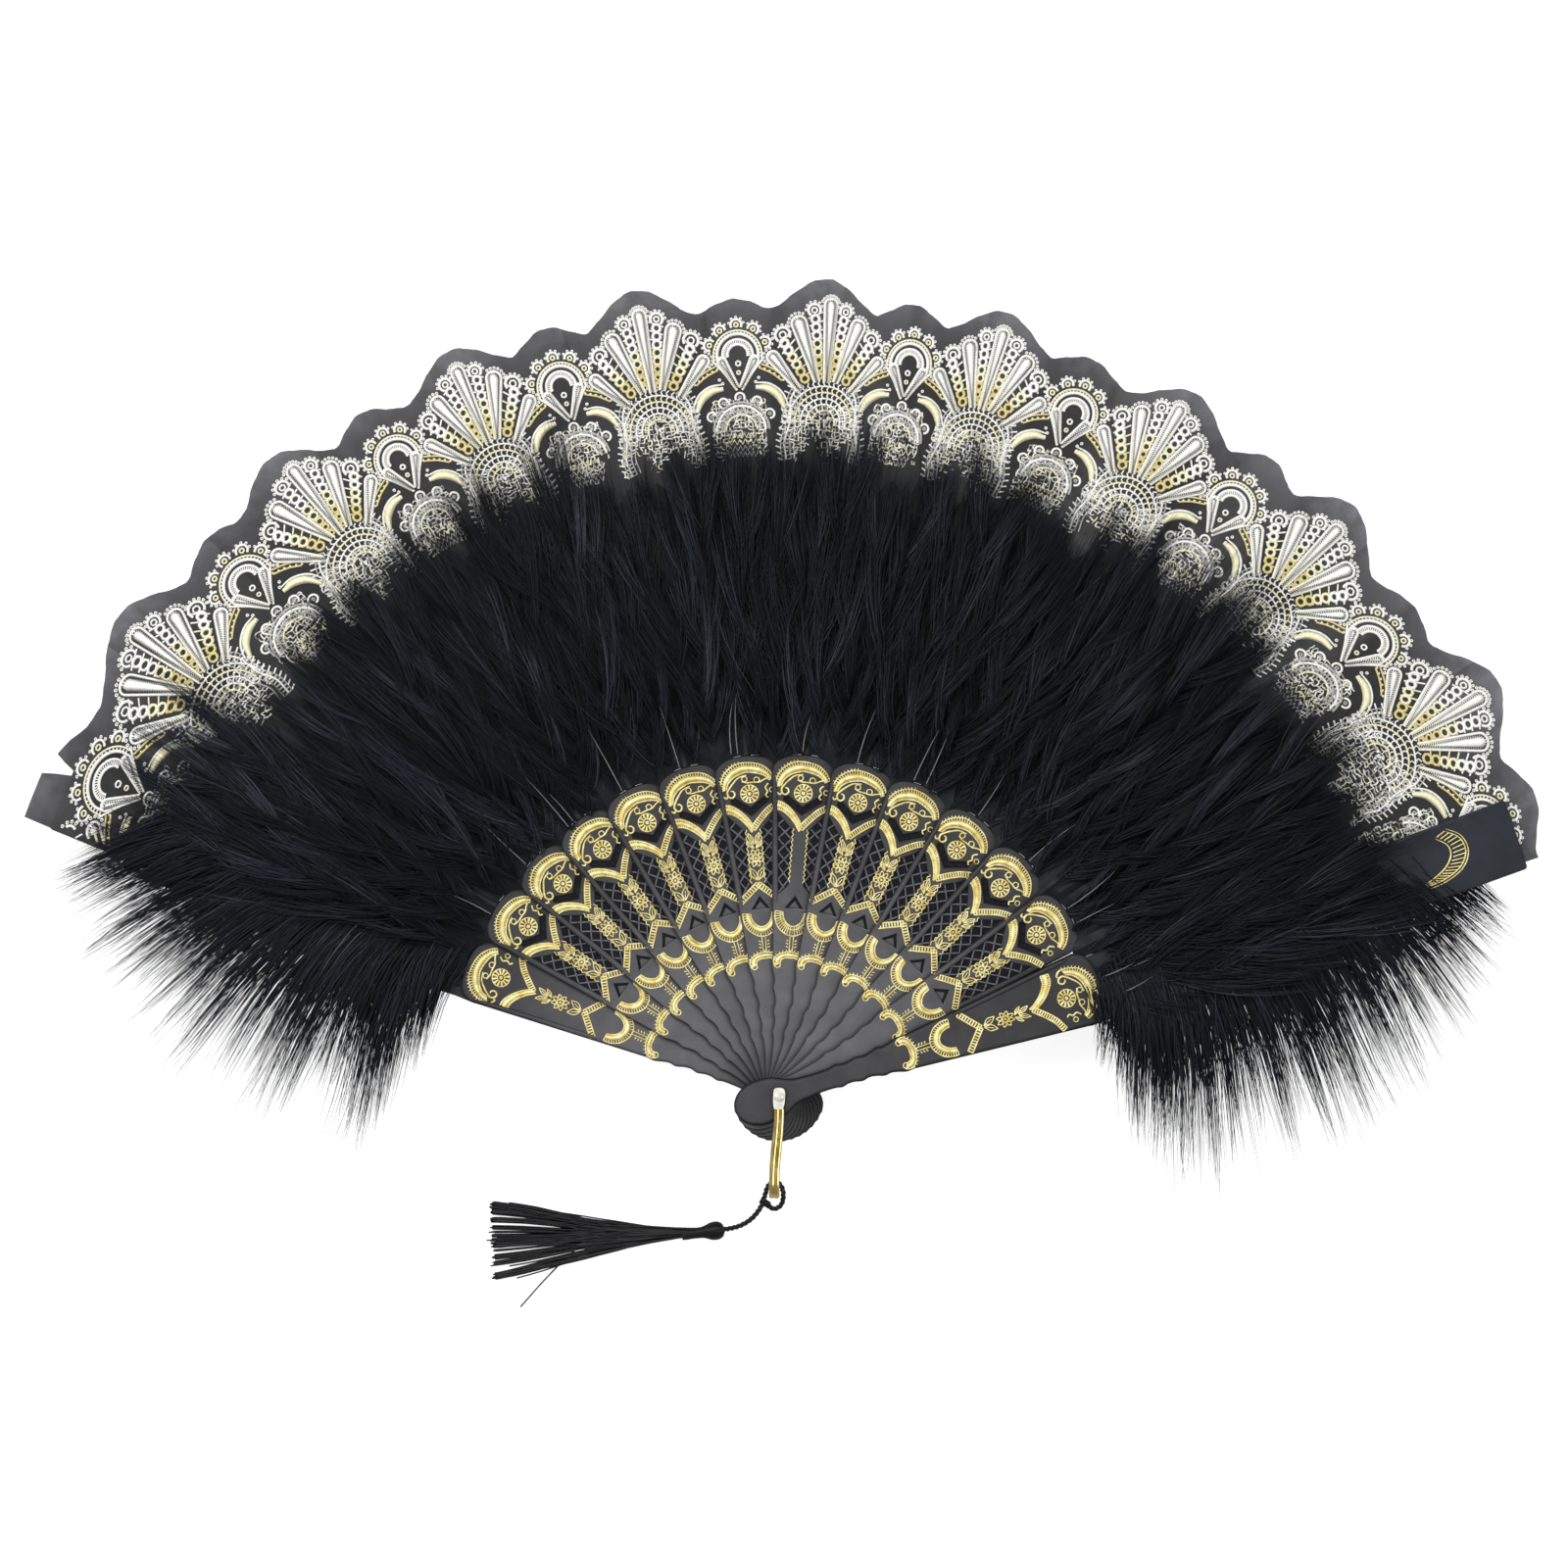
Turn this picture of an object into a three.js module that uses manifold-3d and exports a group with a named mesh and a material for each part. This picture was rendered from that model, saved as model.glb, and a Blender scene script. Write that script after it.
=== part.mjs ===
// Folding hand fan lying open on a table: 12 relief sticks between two guards on one pivot pin,
// a pleated organza leaf with a lace border, feather clumps, a wire bail and a tassel.
// Millimetres, +Z up. The origin is the middle of the flat rivet cap under the pivot, on the table.
import * as THREE from "three";
import { mergeVertices } from "three/addons/utils/BufferGeometryUtils.js";
import Module from "manifold-3d";

const wasm = await Module();
wasm.setup();

// Spread of the open fan, in degrees from +X. Each stick lies on the one to its left.
const backGuardAngle = 157.4;
// From each stick to the next, uneven as the leaf's pleats are
const gapAngles = [11.1, 10.5, 10, 9.9, 10, 10.3, 10.2, 10.5, 10.3, 10.5, 10.9, 11.2, 13.2];
const stickCount = gapAngles.length - 1;

// Stack at the pivot, from the table up
const rivetCapThickness = 0.7;
const guardSeatHeight = 2;
const guardThickness = 2.4;
const stickThickness = 1.2;
const layerGap = 0.4;
const slimGap = 0.2;
const touchGap = 0.3;

// Sticks and guards, along their own middle line from the pivot
const tailLength = 13.4;
const tailHalfWidth = 6.3;
const shankEnd = 39;
const shankEndHalfWidth = 5;
const headCornerRadius = 91.5;
const headTopRadius = 97.4;
const stickHeadHalfWidth = 9.5;
const guardHeadHalfWidth = 9.7;
const guardTipRadius = 222.5;
const guardTipHalfWidth = 10.3;
const guardBladeThickness = 1.9;
const guardBladeDrop = 0.3;
const frontTipShift = 3;
const ribPastLeaf = 4.5;
const ribRootHalfWidth = 1.5;
const ribTipHalfWidth = 1;
const ribThickness = 0.5;

// Tail and waist of a stick: place along the tail length, and half width, as shares
const tailShares = [
  [-0.94, 0.41],
  [-0.78, 0.78],
  [-0.52, 0.98],
  [-0.26, 1],
  [-0.04, 0.92],
  [0.16, 0.75],
  [0.34, 0.57],
  [0.52, 0.51],
];
// Rippled shank: place as a share of the shank's end, half width as a share of its half width there
const shankShares = [
  [0.31, 0.58],
  [0.41, 0.6],
  [0.46, 0.68],
  [0.51, 0.6],
  [0.56, 0.62],
  [0.615, 0.72],
  [0.67, 0.64],
  [0.72, 0.7],
  [0.78, 0.84],
  [0.83, 0.8],
  [0.88, 0.88],
  [0.94, 1.02],
  [1, 1],
];

// Pockets sunk in the face of an inner stick
const pocketFloorThickness = 0.5;
const windowStart = 57.4;
const windowEnd = 77;
const windowStemHalfWidth = 2.3;
const windowRailWidth = 1.7;
const chevronRadius = 80.2;
const chevronRise = 4;
const chevronWidth = 2;
const chevronHalfSpan = 5.4;
const triangleBaseRadius = 53.4;
const triangleTopRadius = 56.2;
const triangleHalfBase = 1.9;

// Leaf and lace
const leafInnerRadius = 99;
const leafPastGuard = 5;
const leafScallopDepth = 6.5;
const clothThickness = 0.15;
const clothGap = 0.15;
const pleatRise = 0.2;
const laceSetback = 11.9;
const laceDepth = 36.6;
const laceShellRise = 12;
const laceArchRise = 5.4;
const shellPitchAngle = 13.94;
const middleShellAngle = 87.05;
const shellHalfWidthShare = 0.32;
const archHalfWidthShare = 0.18;

// Feather clumps
const clumpInnerRadius = 99.5;
const clumpLaceCover = 11;
const clumpHeight = 11;
const clumpRimShare = 0.3;
const clumpRibClearance = 2;
const tuftSpreadAngle = 28;
const tuftSetback = 6.5;
const tuftDrop = 3.5;
// How far a side tuft spreads past its guard, at even steps outwards
const tuftSpreadShares = [0.1, 0.75, 1, 0.95, 0.75, 0.5, 0.2];

// Pivot pin and rivet cap
const pinRadius = 0.8;
const pinHeadRadius = 1.3;
const pinHeadHeight = 0.8;
const pinHeadFlatShare = 0.55;
const rivetCapRadius = 2.6;
const boreClearance = 0.3;

// Wire bail
const bailAngle = 267.2;
const bailReach = 28.6;
const bailWireRadius = 0.7;
const bailCornerRadius = 4;
const bailEyeThickness = 0.8;
const bailEyeHalfWidth = 1.75;
const bailEyeTop = 2.3;
const bailEyeBottom = 4.6;

// Tassel on the table: cord loop round the bail, wound head and thread skirt
const cordRadius = 0.6;
const cordRoute = [
  [-3.2, -32.3, 0.8],
  [-1.4, -33.1, 1.5],
  [0.5, -32, 2.6],
  [1.2, -29.5, 3.2],
  [0.7, -26.8, 3.5],
  [-1.3, -25, 3.5],
  [-3.2, -26.6, 3],
  [-4.1, -29.2, 2],
  [-4.9, -31.8, 1.2],
  [-6, -33.8, 0.8],
  [-7.7, -35.8, 0.8],
  [-9.9, -37.4, 0.8],
  [-12.6, -38.5, 1.1],
  [-15.9, -39.1, 2.5],
];
const tasselHeadAngle = 187;
const tasselHeadLength = 5;
const tasselHeadRadius = 2.5;
const tasselHeadWaistShare = 0.8;
const skirtEndX = -81.8;
const skirtEndY = -42.4;
const skirtRootHalfWidth = 2.2;
const skirtEndHalfWidth = 11;
const skirtRootThickness = 4.2;
const skirtEndThickness = 2.4;
const skirtLift = 0.1;

// Radii that follow from the guards' length
const leafValleyRadius = guardTipRadius + leafPastGuard;
const ribTipRadius = leafValleyRadius + ribPastLeaf;
const laceValleyRadius = leafValleyRadius - laceSetback;
const laceInnerRadius = laceValleyRadius - laceDepth;
const clumpOuterRadius = laceInnerRadius + clumpLaceCover;
const tuftOuterRadius = guardTipRadius - tuftSetback;

// Fineness of round shapes and of the cuts' overrun
const roundSides = 16;
const wireSides = 8;
const wireSteps = 56;
const cordSteps = 36;
const curveSteps = 6;
const overrun = 1;
const weldShare = 1e-5;

const blackPlastic = { color: 0x1b1b1f, roughness: 0.35, metalness: 0 };
const organza = { color: 0x3a3d42, roughness: 0.8, metalness: 0 };
const laceThread = { color: 0xe6e2cf, roughness: 0.6, metalness: 0.1 };
const featherDown = { color: 0x0e1018, roughness: 0.9, metalness: 0 };
const goldWire = { color: 0xd9a334, roughness: 0.25, metalness: 1 };
const silverPin = { color: 0xcfcfc8, roughness: 0.3, metalness: 1 };
const tasselSilk = { color: 0x0b0b0d, roughness: 0.5, metalness: 0 };

const fan = new THREE.Group();
fan.name = "feather_fan";

function addMesh(name, geometry, look, turn = 0) {
  const mesh = new THREE.Mesh(geometry, new THREE.MeshStandardMaterial(look));
  mesh.name = name;
  mesh.rotation.z = THREE.MathUtils.degToRad(turn);
  fan.add(mesh);
}

// manifold-3d solids from three.js shapes, and back
function solidOf(geometry) {
  const plain = geometry.clone();
  plain.deleteAttribute("normal");
  plain.deleteAttribute("uv");
  const merged = mergeVertices(plain, ribTipRadius * weldShare);
  return new wasm.Manifold(
    new wasm.Mesh({
      numProp: 3,
      vertProperties: merged.attributes.position.array,
      triVerts: new Uint32Array(merged.index.array),
    }),
  );
}

function geometryOf(solid) {
  const made = solid.getMesh();
  const geometry = new THREE.BufferGeometry();
  const places = new THREE.BufferAttribute(made.vertProperties, made.numProp);
  geometry.setAttribute("position", places);
  geometry.setIndex(new THREE.BufferAttribute(made.triVerts, 1));
  return geometry;
}

// A flat plate of a shape between two heights
function plate(shape, bottom, thickness) {
  const settings = { depth: thickness, bevelEnabled: false, curveSegments: curveSteps };
  return new THREE.ExtrudeGeometry(shape, settings).translate(0, 0, bottom);
}

function shapeOf(points) {
  return new THREE.Shape(points.map(([x, y]) => new THREE.Vector2(x, y)));
}

function circleAt(x, radius) {
  const points = [];
  for (let i = 0; i < roundSides; i++) {
    const angle = (2 * Math.PI * i) / roundSides;
    points.push([x + radius * Math.cos(angle), radius * Math.sin(angle)]);
  }
  return points;
}

// Angles of the sticks and the heights of their layers. Number 0 is the back guard.
const lastStick = stickCount + 1;

function gapAngle(number) {
  return gapAngles[number - 1];
}

const stickAngles = [backGuardAngle];
for (let number = 1; number <= lastStick; number++) {
  stickAngles.push(stickAngles[number - 1] - gapAngle(number));
}

const layerPitch = stickThickness + layerGap;
const firstLayer = guardSeatHeight + guardThickness + layerGap;

function layerBottom(number) {
  return number === 0 ? guardSeatHeight : firstLayer + (number - 1) * layerPitch;
}

const frontGuardTop = layerBottom(lastStick) + guardThickness;

// Outline of a stick: tail, waist, rippled shank, wedge head with a curved top
function stickOutline(headHalfWidth) {
  const half = [
    ...tailShares.map(([along, wide]) => [along * tailLength, wide * tailHalfWidth]),
    ...shankShares.map(([along, wide]) => [along * shankEnd, wide * shankEndHalfWidth]),
  ];
  const shape = new THREE.Shape();
  shape.moveTo(-tailLength, 0);
  for (const [x, y] of half) shape.lineTo(x, -y);
  shape.lineTo(headCornerRadius, -headHalfWidth);
  shape.quadraticCurveTo(headTopRadius, -headHalfWidth, headTopRadius, 0);
  shape.quadraticCurveTo(headTopRadius, headHalfWidth, headCornerRadius, headHalfWidth);
  for (const [x, y] of half.toReversed()) shape.lineTo(x, y);
  shape.closePath();
  shape.holes.push(shapeOf(circleAt(0, pinRadius + boreClearance)));
  return shape;
}

function railHalfWidth(radius) {
  const share = (radius - shankEnd) / (headCornerRadius - shankEnd);
  const edge = THREE.MathUtils.lerp(shankEndHalfWidth, stickHeadHalfWidth, share);
  return edge - windowRailWidth;
}

// The two windows beside the stem, the chevron under the rosette, and the small triangle
function pockets() {
  const windows = [1, -1].map((side) => [
    [windowStart, side * windowStemHalfWidth],
    [windowEnd, side * windowStemHalfWidth],
    [windowEnd, side * railHalfWidth(windowEnd)],
    [windowStart, side * railHalfWidth(windowStart)],
  ]);
  const chevron = [
    [chevronRadius, 0],
    [chevronRadius + chevronRise, chevronHalfSpan],
    [chevronRadius + chevronRise + chevronWidth, chevronHalfSpan],
    [chevronRadius + chevronWidth, 0],
    [chevronRadius + chevronRise + chevronWidth, -chevronHalfSpan],
    [chevronRadius + chevronRise, -chevronHalfSpan],
  ];
  const triangle = [
    [triangleBaseRadius, triangleHalfBase],
    [triangleTopRadius, 0],
    [triangleBaseRadius, -triangleHalfBase],
  ];
  return [...windows, chevron, triangle].map(shapeOf);
}

// A tapering blade from inside the head to a tip, which may stand to one side
function bladeShape(tipRadius, rootHalfWidth, tipHalfWidth, tipShift = 0) {
  return shapeOf([
    [headCornerRadius - overrun, -rootHalfWidth],
    [tipRadius, tipShift - tipHalfWidth],
    [tipRadius, tipShift + tipHalfWidth],
    [headCornerRadius - overrun, rootHalfWidth],
  ]);
}

for (let number = 1; number <= stickCount; number++) {
  const outline = stickOutline(stickHeadHalfWidth);
  const bottom = layerBottom(number);
  const rib = bladeShape(ribTipRadius, ribRootHalfWidth, ribTipHalfWidth);
  const floor = solidOf(plate(outline, bottom, pocketFloorThickness));
  outline.holes.push(...pockets());
  const body = floor.add(solidOf(plate(outline, bottom, stickThickness)));
  const joined = body.add(solidOf(plate(rib, bottom, ribThickness)));
  addMesh(`stick_${number}`, geometryOf(joined), blackPlastic, stickAngles[number]);
}

function addGuard(name, number, bladeBottom, tipShift) {
  const outline = stickOutline(guardHeadHalfWidth);
  const blade = bladeShape(guardTipRadius, guardHeadHalfWidth, guardTipHalfWidth, tipShift);
  const body = solidOf(plate(outline, layerBottom(number), guardThickness));
  const joined = body.add(solidOf(plate(blade, bladeBottom, guardBladeThickness)));
  addMesh(name, geometryOf(joined), blackPlastic, stickAngles[number]);
}

const backBladeBottom = guardSeatHeight - guardBladeDrop;
const backBladeTop = backBladeBottom + guardBladeThickness;
const frontBladeTop = layerBottom(lastStick) + guardBladeThickness;
addGuard("back_guard", 0, backBladeBottom, 0);
addGuard("front_guard", lastStick, layerBottom(lastStick), frontTipShift);

// A closed slab in polar places. across runs from the left edge to the right one, out from the
// inner edge to the outer one, and up from the underside to the top.
function polarSlab(acrossSteps, outSteps, place) {
  const geometry = new THREE.BoxGeometry(1, 1, 1, acrossSteps, outSteps, 1);
  const corners = geometry.attributes.position;
  for (let i = 0; i < corners.count; i++) {
    const across = corners.getX(i) + 0.5;
    const out = corners.getY(i) + 0.5;
    const up = corners.getZ(i) + 0.5;
    const { radius, angle, height } = place(across, out, up);
    const turn = THREE.MathUtils.degToRad(angle);
    corners.setXYZ(i, radius * Math.cos(turn), radius * Math.sin(turn), height);
  }
  return geometry;
}

// Place in the lace's repeat: 0 on a shell's middle line, 0.5 on a small arch's
function shellPhase(angle) {
  const turns = (angle - middleShellAngle) / shellPitchAngle;
  return Math.abs(turns - Math.round(turns));
}

function lobe(offset, halfWidth) {
  return Math.max(0, Math.cos((Math.PI * offset) / (2 * halfWidth)));
}

function leafEdge(angle) {
  const lobes = Math.abs(Math.cos((2 * Math.PI * (angle - middleShellAngle)) / shellPitchAngle));
  return leafValleyRadius + leafScallopDepth * lobes;
}

function laceEdge(angle) {
  const phase = shellPhase(angle);
  const shell = laceShellRise * lobe(phase, shellHalfWidthShare);
  const arch = laceArchRise * lobe(0.5 - phase, archHalfWidthShare);
  return laceValleyRadius + shell + arch;
}

// Seat of a panel: the back guard's blade, or the rib of the stick to its left
function panelSeat(number) {
  return number === 1 ? backBladeTop : layerBottom(number - 1) + ribThickness;
}

function clothPanel(number, innerRadius, edge, lift) {
  const bottom = panelSeat(number) + lift;
  return polarSlab(8, 1, (across, out, up) => {
    const angle = stickAngles[number - 1] - across * gapAngle(number);
    const pleat = pleatRise * (1 - Math.abs(2 * across - 1));
    const radius = THREE.MathUtils.lerp(innerRadius, edge(angle), out);
    return { radius, angle, height: bottom + pleat + up * clothThickness };
  });
}

const laceLift = clothGap + clothThickness + clothGap;
const clumpLift = laceLift + clothThickness + pleatRise + touchGap;

for (let number = 1; number <= lastStick; number++) {
  const leaf = clothPanel(number, leafInnerRadius, leafEdge, clothGap);
  const lace = clothPanel(number, laceInnerRadius, laceEdge, laceLift);
  addMesh(`leaf_panel_${number}`, leaf, organza);
  addMesh(`lace_panel_${number}`, lace, laceThread);
}

// Angle that a sideways offset takes up at a radius
function offsetAngle(offset, radius) {
  return THREE.MathUtils.radToDeg(Math.asin(offset / radius));
}

function crown(across, out, height) {
  const rounding = Math.sin(Math.PI * across) * Math.sin(Math.PI * Math.min(1, out + 0.1));
  return height * (clumpRimShare + (1 - clumpRimShare) * Math.max(0, rounding));
}

function tuftSpread(out) {
  const place = out * (tuftSpreadShares.length - 1);
  const step = Math.min(Math.floor(place), tuftSpreadShares.length - 2);
  const share = THREE.MathUtils.lerp(
    tuftSpreadShares[step],
    tuftSpreadShares[step + 1],
    place - step,
  );
  return share * tuftSpreadAngle;
}

// The front guard's edges at a radius: how far each stands left of the guard's middle line
function frontEdge(radius, side) {
  const share = (radius - headCornerRadius) / (guardTipRadius - headCornerRadius);
  const half = THREE.MathUtils.lerp(guardHeadHalfWidth, guardTipHalfWidth, share);
  return share * frontTipShift + side * half;
}

function clump(number) {
  const bottom = panelSeat(number) + clumpLift;
  const nextEdge = (radius) => (number === lastStick ? frontEdge(radius, 1) : ribRootHalfWidth);
  const left = number === 1 ? tuftSpread : () => 0;
  const reach = number === 1 ? tuftOuterRadius : clumpOuterRadius;
  return polarSlab(6, 6, (across, out, up) => {
    const radius = THREE.MathUtils.lerp(clumpInnerRadius, reach, out);
    const clear = offsetAngle(nextEdge(radius) + clumpRibClearance, radius);
    const start = stickAngles[number - 1] + left(out);
    const angle = THREE.MathUtils.lerp(start, stickAngles[number] + clear, across);
    return { radius, angle, height: bottom + up * crown(across, out, clumpHeight) };
  });
}

for (let number = 1; number <= lastStick; number++) {
  addMesh(`feather_clump_${number}`, clump(number), featherDown);
}

// The last clump lies on the front guard and hangs down past its right edge.
const frontClumpBottom = frontBladeTop + touchGap;
const overGuard = polarSlab(3, 6, (across, out, up) => {
  const radius = THREE.MathUtils.lerp(clumpInnerRadius, clumpOuterRadius, out);
  const left = offsetAngle(frontEdge(radius, 1), radius);
  const right = offsetAngle(frontEdge(radius, -1) - clumpRibClearance, radius);
  const angle = THREE.MathUtils.lerp(left, right, across) + stickAngles[lastStick];
  return { radius, angle, height: frontClumpBottom + up * crown(0.5, out, clumpHeight) };
});
const besideGuard = polarSlab(5, 6, (across, out, up) => {
  const radius = THREE.MathUtils.lerp(clumpInnerRadius, tuftOuterRadius, out);
  const start = offsetAngle(frontEdge(radius, -1) - touchGap, radius);
  const angle = stickAngles[lastStick] + start - across * tuftSpread(out);
  const height = tuftDrop + crown(across, out, clumpHeight);
  return { radius, angle, height: frontClumpBottom - tuftDrop + up * height };
});
addMesh(
  `feather_clump_${lastStick + 1}`,
  geometryOf(solidOf(overGuard).add(solidOf(besideGuard))),
  featherDown,
);

// Pivot pin with its peened head, and the flat cap under it
const eyeBottom = rivetCapThickness + touchGap;
const frontEyeBottom = frontGuardTop + slimGap;
const frontEyeTop = frontEyeBottom + bailEyeThickness;
const pinHeadBottom = frontEyeTop + slimGap;
const pinFoot = rivetCapThickness + slimGap;

function turned(profile) {
  return new THREE.LatheGeometry(
    profile.map(([radius, height]) => new THREE.Vector2(radius, height)),
    roundSides,
  ).rotateX(Math.PI / 2);
}

addMesh(
  "pivot_pin",
  turned([
    [0, pinFoot],
    [pinRadius, pinFoot],
    [pinRadius, pinHeadBottom],
    [pinHeadRadius, pinHeadBottom],
    [pinHeadRadius, pinHeadBottom + pinHeadHeight / 2],
    [pinHeadRadius * pinHeadFlatShare, pinHeadBottom + pinHeadHeight],
    [0, pinHeadBottom + pinHeadHeight],
  ]),
  silverPin,
);
addMesh(
  "rivet_cap",
  turned([
    [0, 0],
    [rivetCapRadius, 0],
    [rivetCapRadius, rivetCapThickness],
    [0, rivetCapThickness],
  ]),
  silverPin,
);

// Bail: one wire from the eye on top, over the tail, down past it and back to the eye below
const upperWire = frontGuardTop + slimGap + bailWireRadius;
const lowerWire = guardSeatHeight - slimGap - bailWireRadius;
const wireStart = bailEyeBottom - bailWireRadius;
const cornerStart = bailReach - bailCornerRadius;

function along(reach, height) {
  return new THREE.Vector3(reach, 0, height);
}

function line(from, to) {
  return new THREE.LineCurve3(from, to);
}

const wirePath = new THREE.CurvePath();
wirePath.add(line(along(wireStart, upperWire), along(cornerStart, upperWire)));
wirePath.add(
  new THREE.QuadraticBezierCurve3(
    along(cornerStart, upperWire),
    along(bailReach, upperWire),
    along(bailReach, upperWire - bailCornerRadius),
  ),
);
wirePath.add(
  line(
    along(bailReach, upperWire - bailCornerRadius),
    along(bailReach, lowerWire + bailCornerRadius),
  ),
);
wirePath.add(
  new THREE.QuadraticBezierCurve3(
    along(bailReach, lowerWire + bailCornerRadius),
    along(bailReach, lowerWire),
    along(cornerStart, lowerWire),
  ),
);
wirePath.add(line(along(cornerStart, lowerWire), along(wireStart, lowerWire)));

function ring(radius, sides) {
  const points = [];
  for (let i = 0; i < sides; i++) {
    const angle = (2 * Math.PI * (i + 0.5)) / sides;
    points.push([radius * Math.cos(angle), radius * Math.sin(angle)]);
  }
  return shapeOf(points);
}

function tube(path, radius, steps) {
  return new THREE.ExtrudeGeometry(ring(radius, wireSides), { steps, extrudePath: path });
}

// The flattened eye: a long oval with the pin's bore
const eyeShape = new THREE.Shape();
eyeShape.absellipse(
  (bailEyeBottom - bailEyeTop) / 2,
  0,
  (bailEyeBottom + bailEyeTop) / 2,
  bailEyeHalfWidth,
  0,
  2 * Math.PI,
);
eyeShape.holes.push(shapeOf(circleAt(0, pinRadius + boreClearance)));
const bail = solidOf(tube(wirePath, bailWireRadius, wireSteps))
  .add(solidOf(plate(eyeShape, frontEyeBottom, bailEyeThickness)))
  .add(solidOf(plate(eyeShape, eyeBottom, bailEyeThickness)));
addMesh("bail", geometryOf(bail), goldWire, bailAngle);

// Tassel
const cordCurve = new THREE.CatmullRomCurve3(
  cordRoute.map(([x, y, z]) => new THREE.Vector3(x, y, z)),
);
addMesh("tassel_cord", tube(cordCurve, cordRadius, cordSteps), tasselSilk);

const [cordEndX, cordEndY] = cordRoute.at(-1);
const headTurn = THREE.MathUtils.degToRad(tasselHeadAngle);
const headX = cordEndX + touchGap * Math.cos(headTurn);
const headY = cordEndY + touchGap * Math.sin(headTurn);
const headHeight = tasselHeadRadius + skirtLift;
const tasselHead = turned([
  [0, 0],
  [tasselHeadRadius * tasselHeadWaistShare, 0],
  [tasselHeadRadius, tasselHeadLength / 4],
  [tasselHeadRadius, tasselHeadLength / 2],
  [tasselHeadRadius * tasselHeadWaistShare, tasselHeadLength],
  [0, tasselHeadLength],
])
  .rotateY(Math.PI / 2)
  .rotateZ(headTurn)
  .translate(headX, headY, headHeight);
addMesh("tassel_head", tasselHead, tasselSilk);

// The skirt's threads spread flat on the table
const skirtStart = tasselHeadLength + touchGap;
const skirtX = headX + skirtStart * Math.cos(headTurn);
const skirtY = headY + skirtStart * Math.sin(headTurn);
const skirtTurn = Math.atan2(skirtEndY - skirtY, skirtEndX - skirtX);
const skirtLength = Math.hypot(skirtEndX - skirtX, skirtEndY - skirtY);
const skirt = new THREE.BoxGeometry(1, 1, 1, 5, 4, 1);
const skirtCorners = skirt.attributes.position;
for (let i = 0; i < skirtCorners.count; i++) {
  const out = skirtCorners.getX(i) + 0.5;
  const side = 2 * skirtCorners.getY(i);
  const up = skirtCorners.getZ(i) + 0.5;
  const half = THREE.MathUtils.lerp(skirtRootHalfWidth, skirtEndHalfWidth, out);
  const thickness = THREE.MathUtils.lerp(skirtRootThickness, skirtEndThickness, out);
  const rounding = 1 - (side * side) / 2;
  skirtCorners.setXYZ(i, out * skirtLength, side * half, up * thickness * rounding);
}
skirt.rotateZ(skirtTurn).translate(skirtX, skirtY, skirtLift);
addMesh("tassel_skirt", skirt, tasselSilk);

export default fan;
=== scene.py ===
"""Feather fan lying open: black relief sticks with gold print between two guards, an organza leaf
with a lace border, feather down sewn over it, a gilt wire bail at the pivot and a black tassel.
Metres, +Z up. The origin is the middle of the rivet cap under the pivot, on the table."""

import math

import bmesh
import bpy
import numpy as np
from mathutils import Matrix, Vector


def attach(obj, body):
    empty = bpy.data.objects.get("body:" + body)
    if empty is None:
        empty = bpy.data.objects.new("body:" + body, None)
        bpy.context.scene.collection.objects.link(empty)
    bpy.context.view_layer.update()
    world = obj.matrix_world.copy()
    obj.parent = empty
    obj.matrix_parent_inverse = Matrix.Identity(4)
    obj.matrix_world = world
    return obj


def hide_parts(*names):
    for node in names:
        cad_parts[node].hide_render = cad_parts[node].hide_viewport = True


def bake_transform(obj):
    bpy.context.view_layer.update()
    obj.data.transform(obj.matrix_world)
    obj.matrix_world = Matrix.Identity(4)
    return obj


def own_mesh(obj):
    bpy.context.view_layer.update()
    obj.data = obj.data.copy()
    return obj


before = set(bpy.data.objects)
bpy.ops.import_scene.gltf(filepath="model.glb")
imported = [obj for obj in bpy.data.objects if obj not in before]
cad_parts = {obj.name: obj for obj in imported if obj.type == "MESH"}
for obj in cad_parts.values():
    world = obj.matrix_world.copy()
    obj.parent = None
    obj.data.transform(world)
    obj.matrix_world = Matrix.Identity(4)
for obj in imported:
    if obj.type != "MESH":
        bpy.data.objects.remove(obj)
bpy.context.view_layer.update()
MM = 0.001


# Table and light. The fan lies on a white table under one broad softbox, with a weaker one on
# each side, and is seen from straight above.
PHOTO_MIDDLE = (1.4 * MM, 88.8 * MM)
PHOTO_WIDTH = 448 * MM
CAMERA_HEIGHT = 2.6
SENSOR_WIDTH = 36.0
FAN_HEIGHT = 14 * MM
FAN_MIDDLE = (0, 0.08, 0)
TABLE_HALF = 3.0
TABLE_GLOW = 0.82


def shown(name, data):
    """An object in the scene that holds the given data."""
    made = bpy.data.objects.new(name, data)
    bpy.context.scene.collection.objects.link(made)
    return made


camera_data = bpy.data.cameras.new("camera")
camera_data.sensor_width = SENSOR_WIDTH
camera_data.lens = SENSOR_WIDTH * (CAMERA_HEIGHT - FAN_HEIGHT) / PHOTO_WIDTH
camera = shown("camera", camera_data)
camera.location = (*PHOTO_MIDDLE, CAMERA_HEIGHT)
bpy.context.scene.camera = camera
bpy.context.scene.view_settings.view_transform = "Standard"

for name, place, size, power in [
    ("softbox_top", (-0.35, 0.75, 1.5), (0.9, 0.7), 14),
    ("softbox_left", (-1.18, 0.63, 0.8), (0.6, 0.6), 10),
    ("softbox_right", (1.3, -0.2, 0.9), (0.5, 0.9), 6),
]:
    lamp_data = bpy.data.lights.new(name, "AREA")
    lamp_data.shape = "RECTANGLE"
    lamp_data.size, lamp_data.size_y = size
    lamp_data.energy = power
    lamp = shown(name, lamp_data)
    lamp.location = place
    lamp.rotation_euler = (Vector(place) - Vector(FAN_MIDDLE)).to_track_quat("Z", "Y").to_euler()


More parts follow.
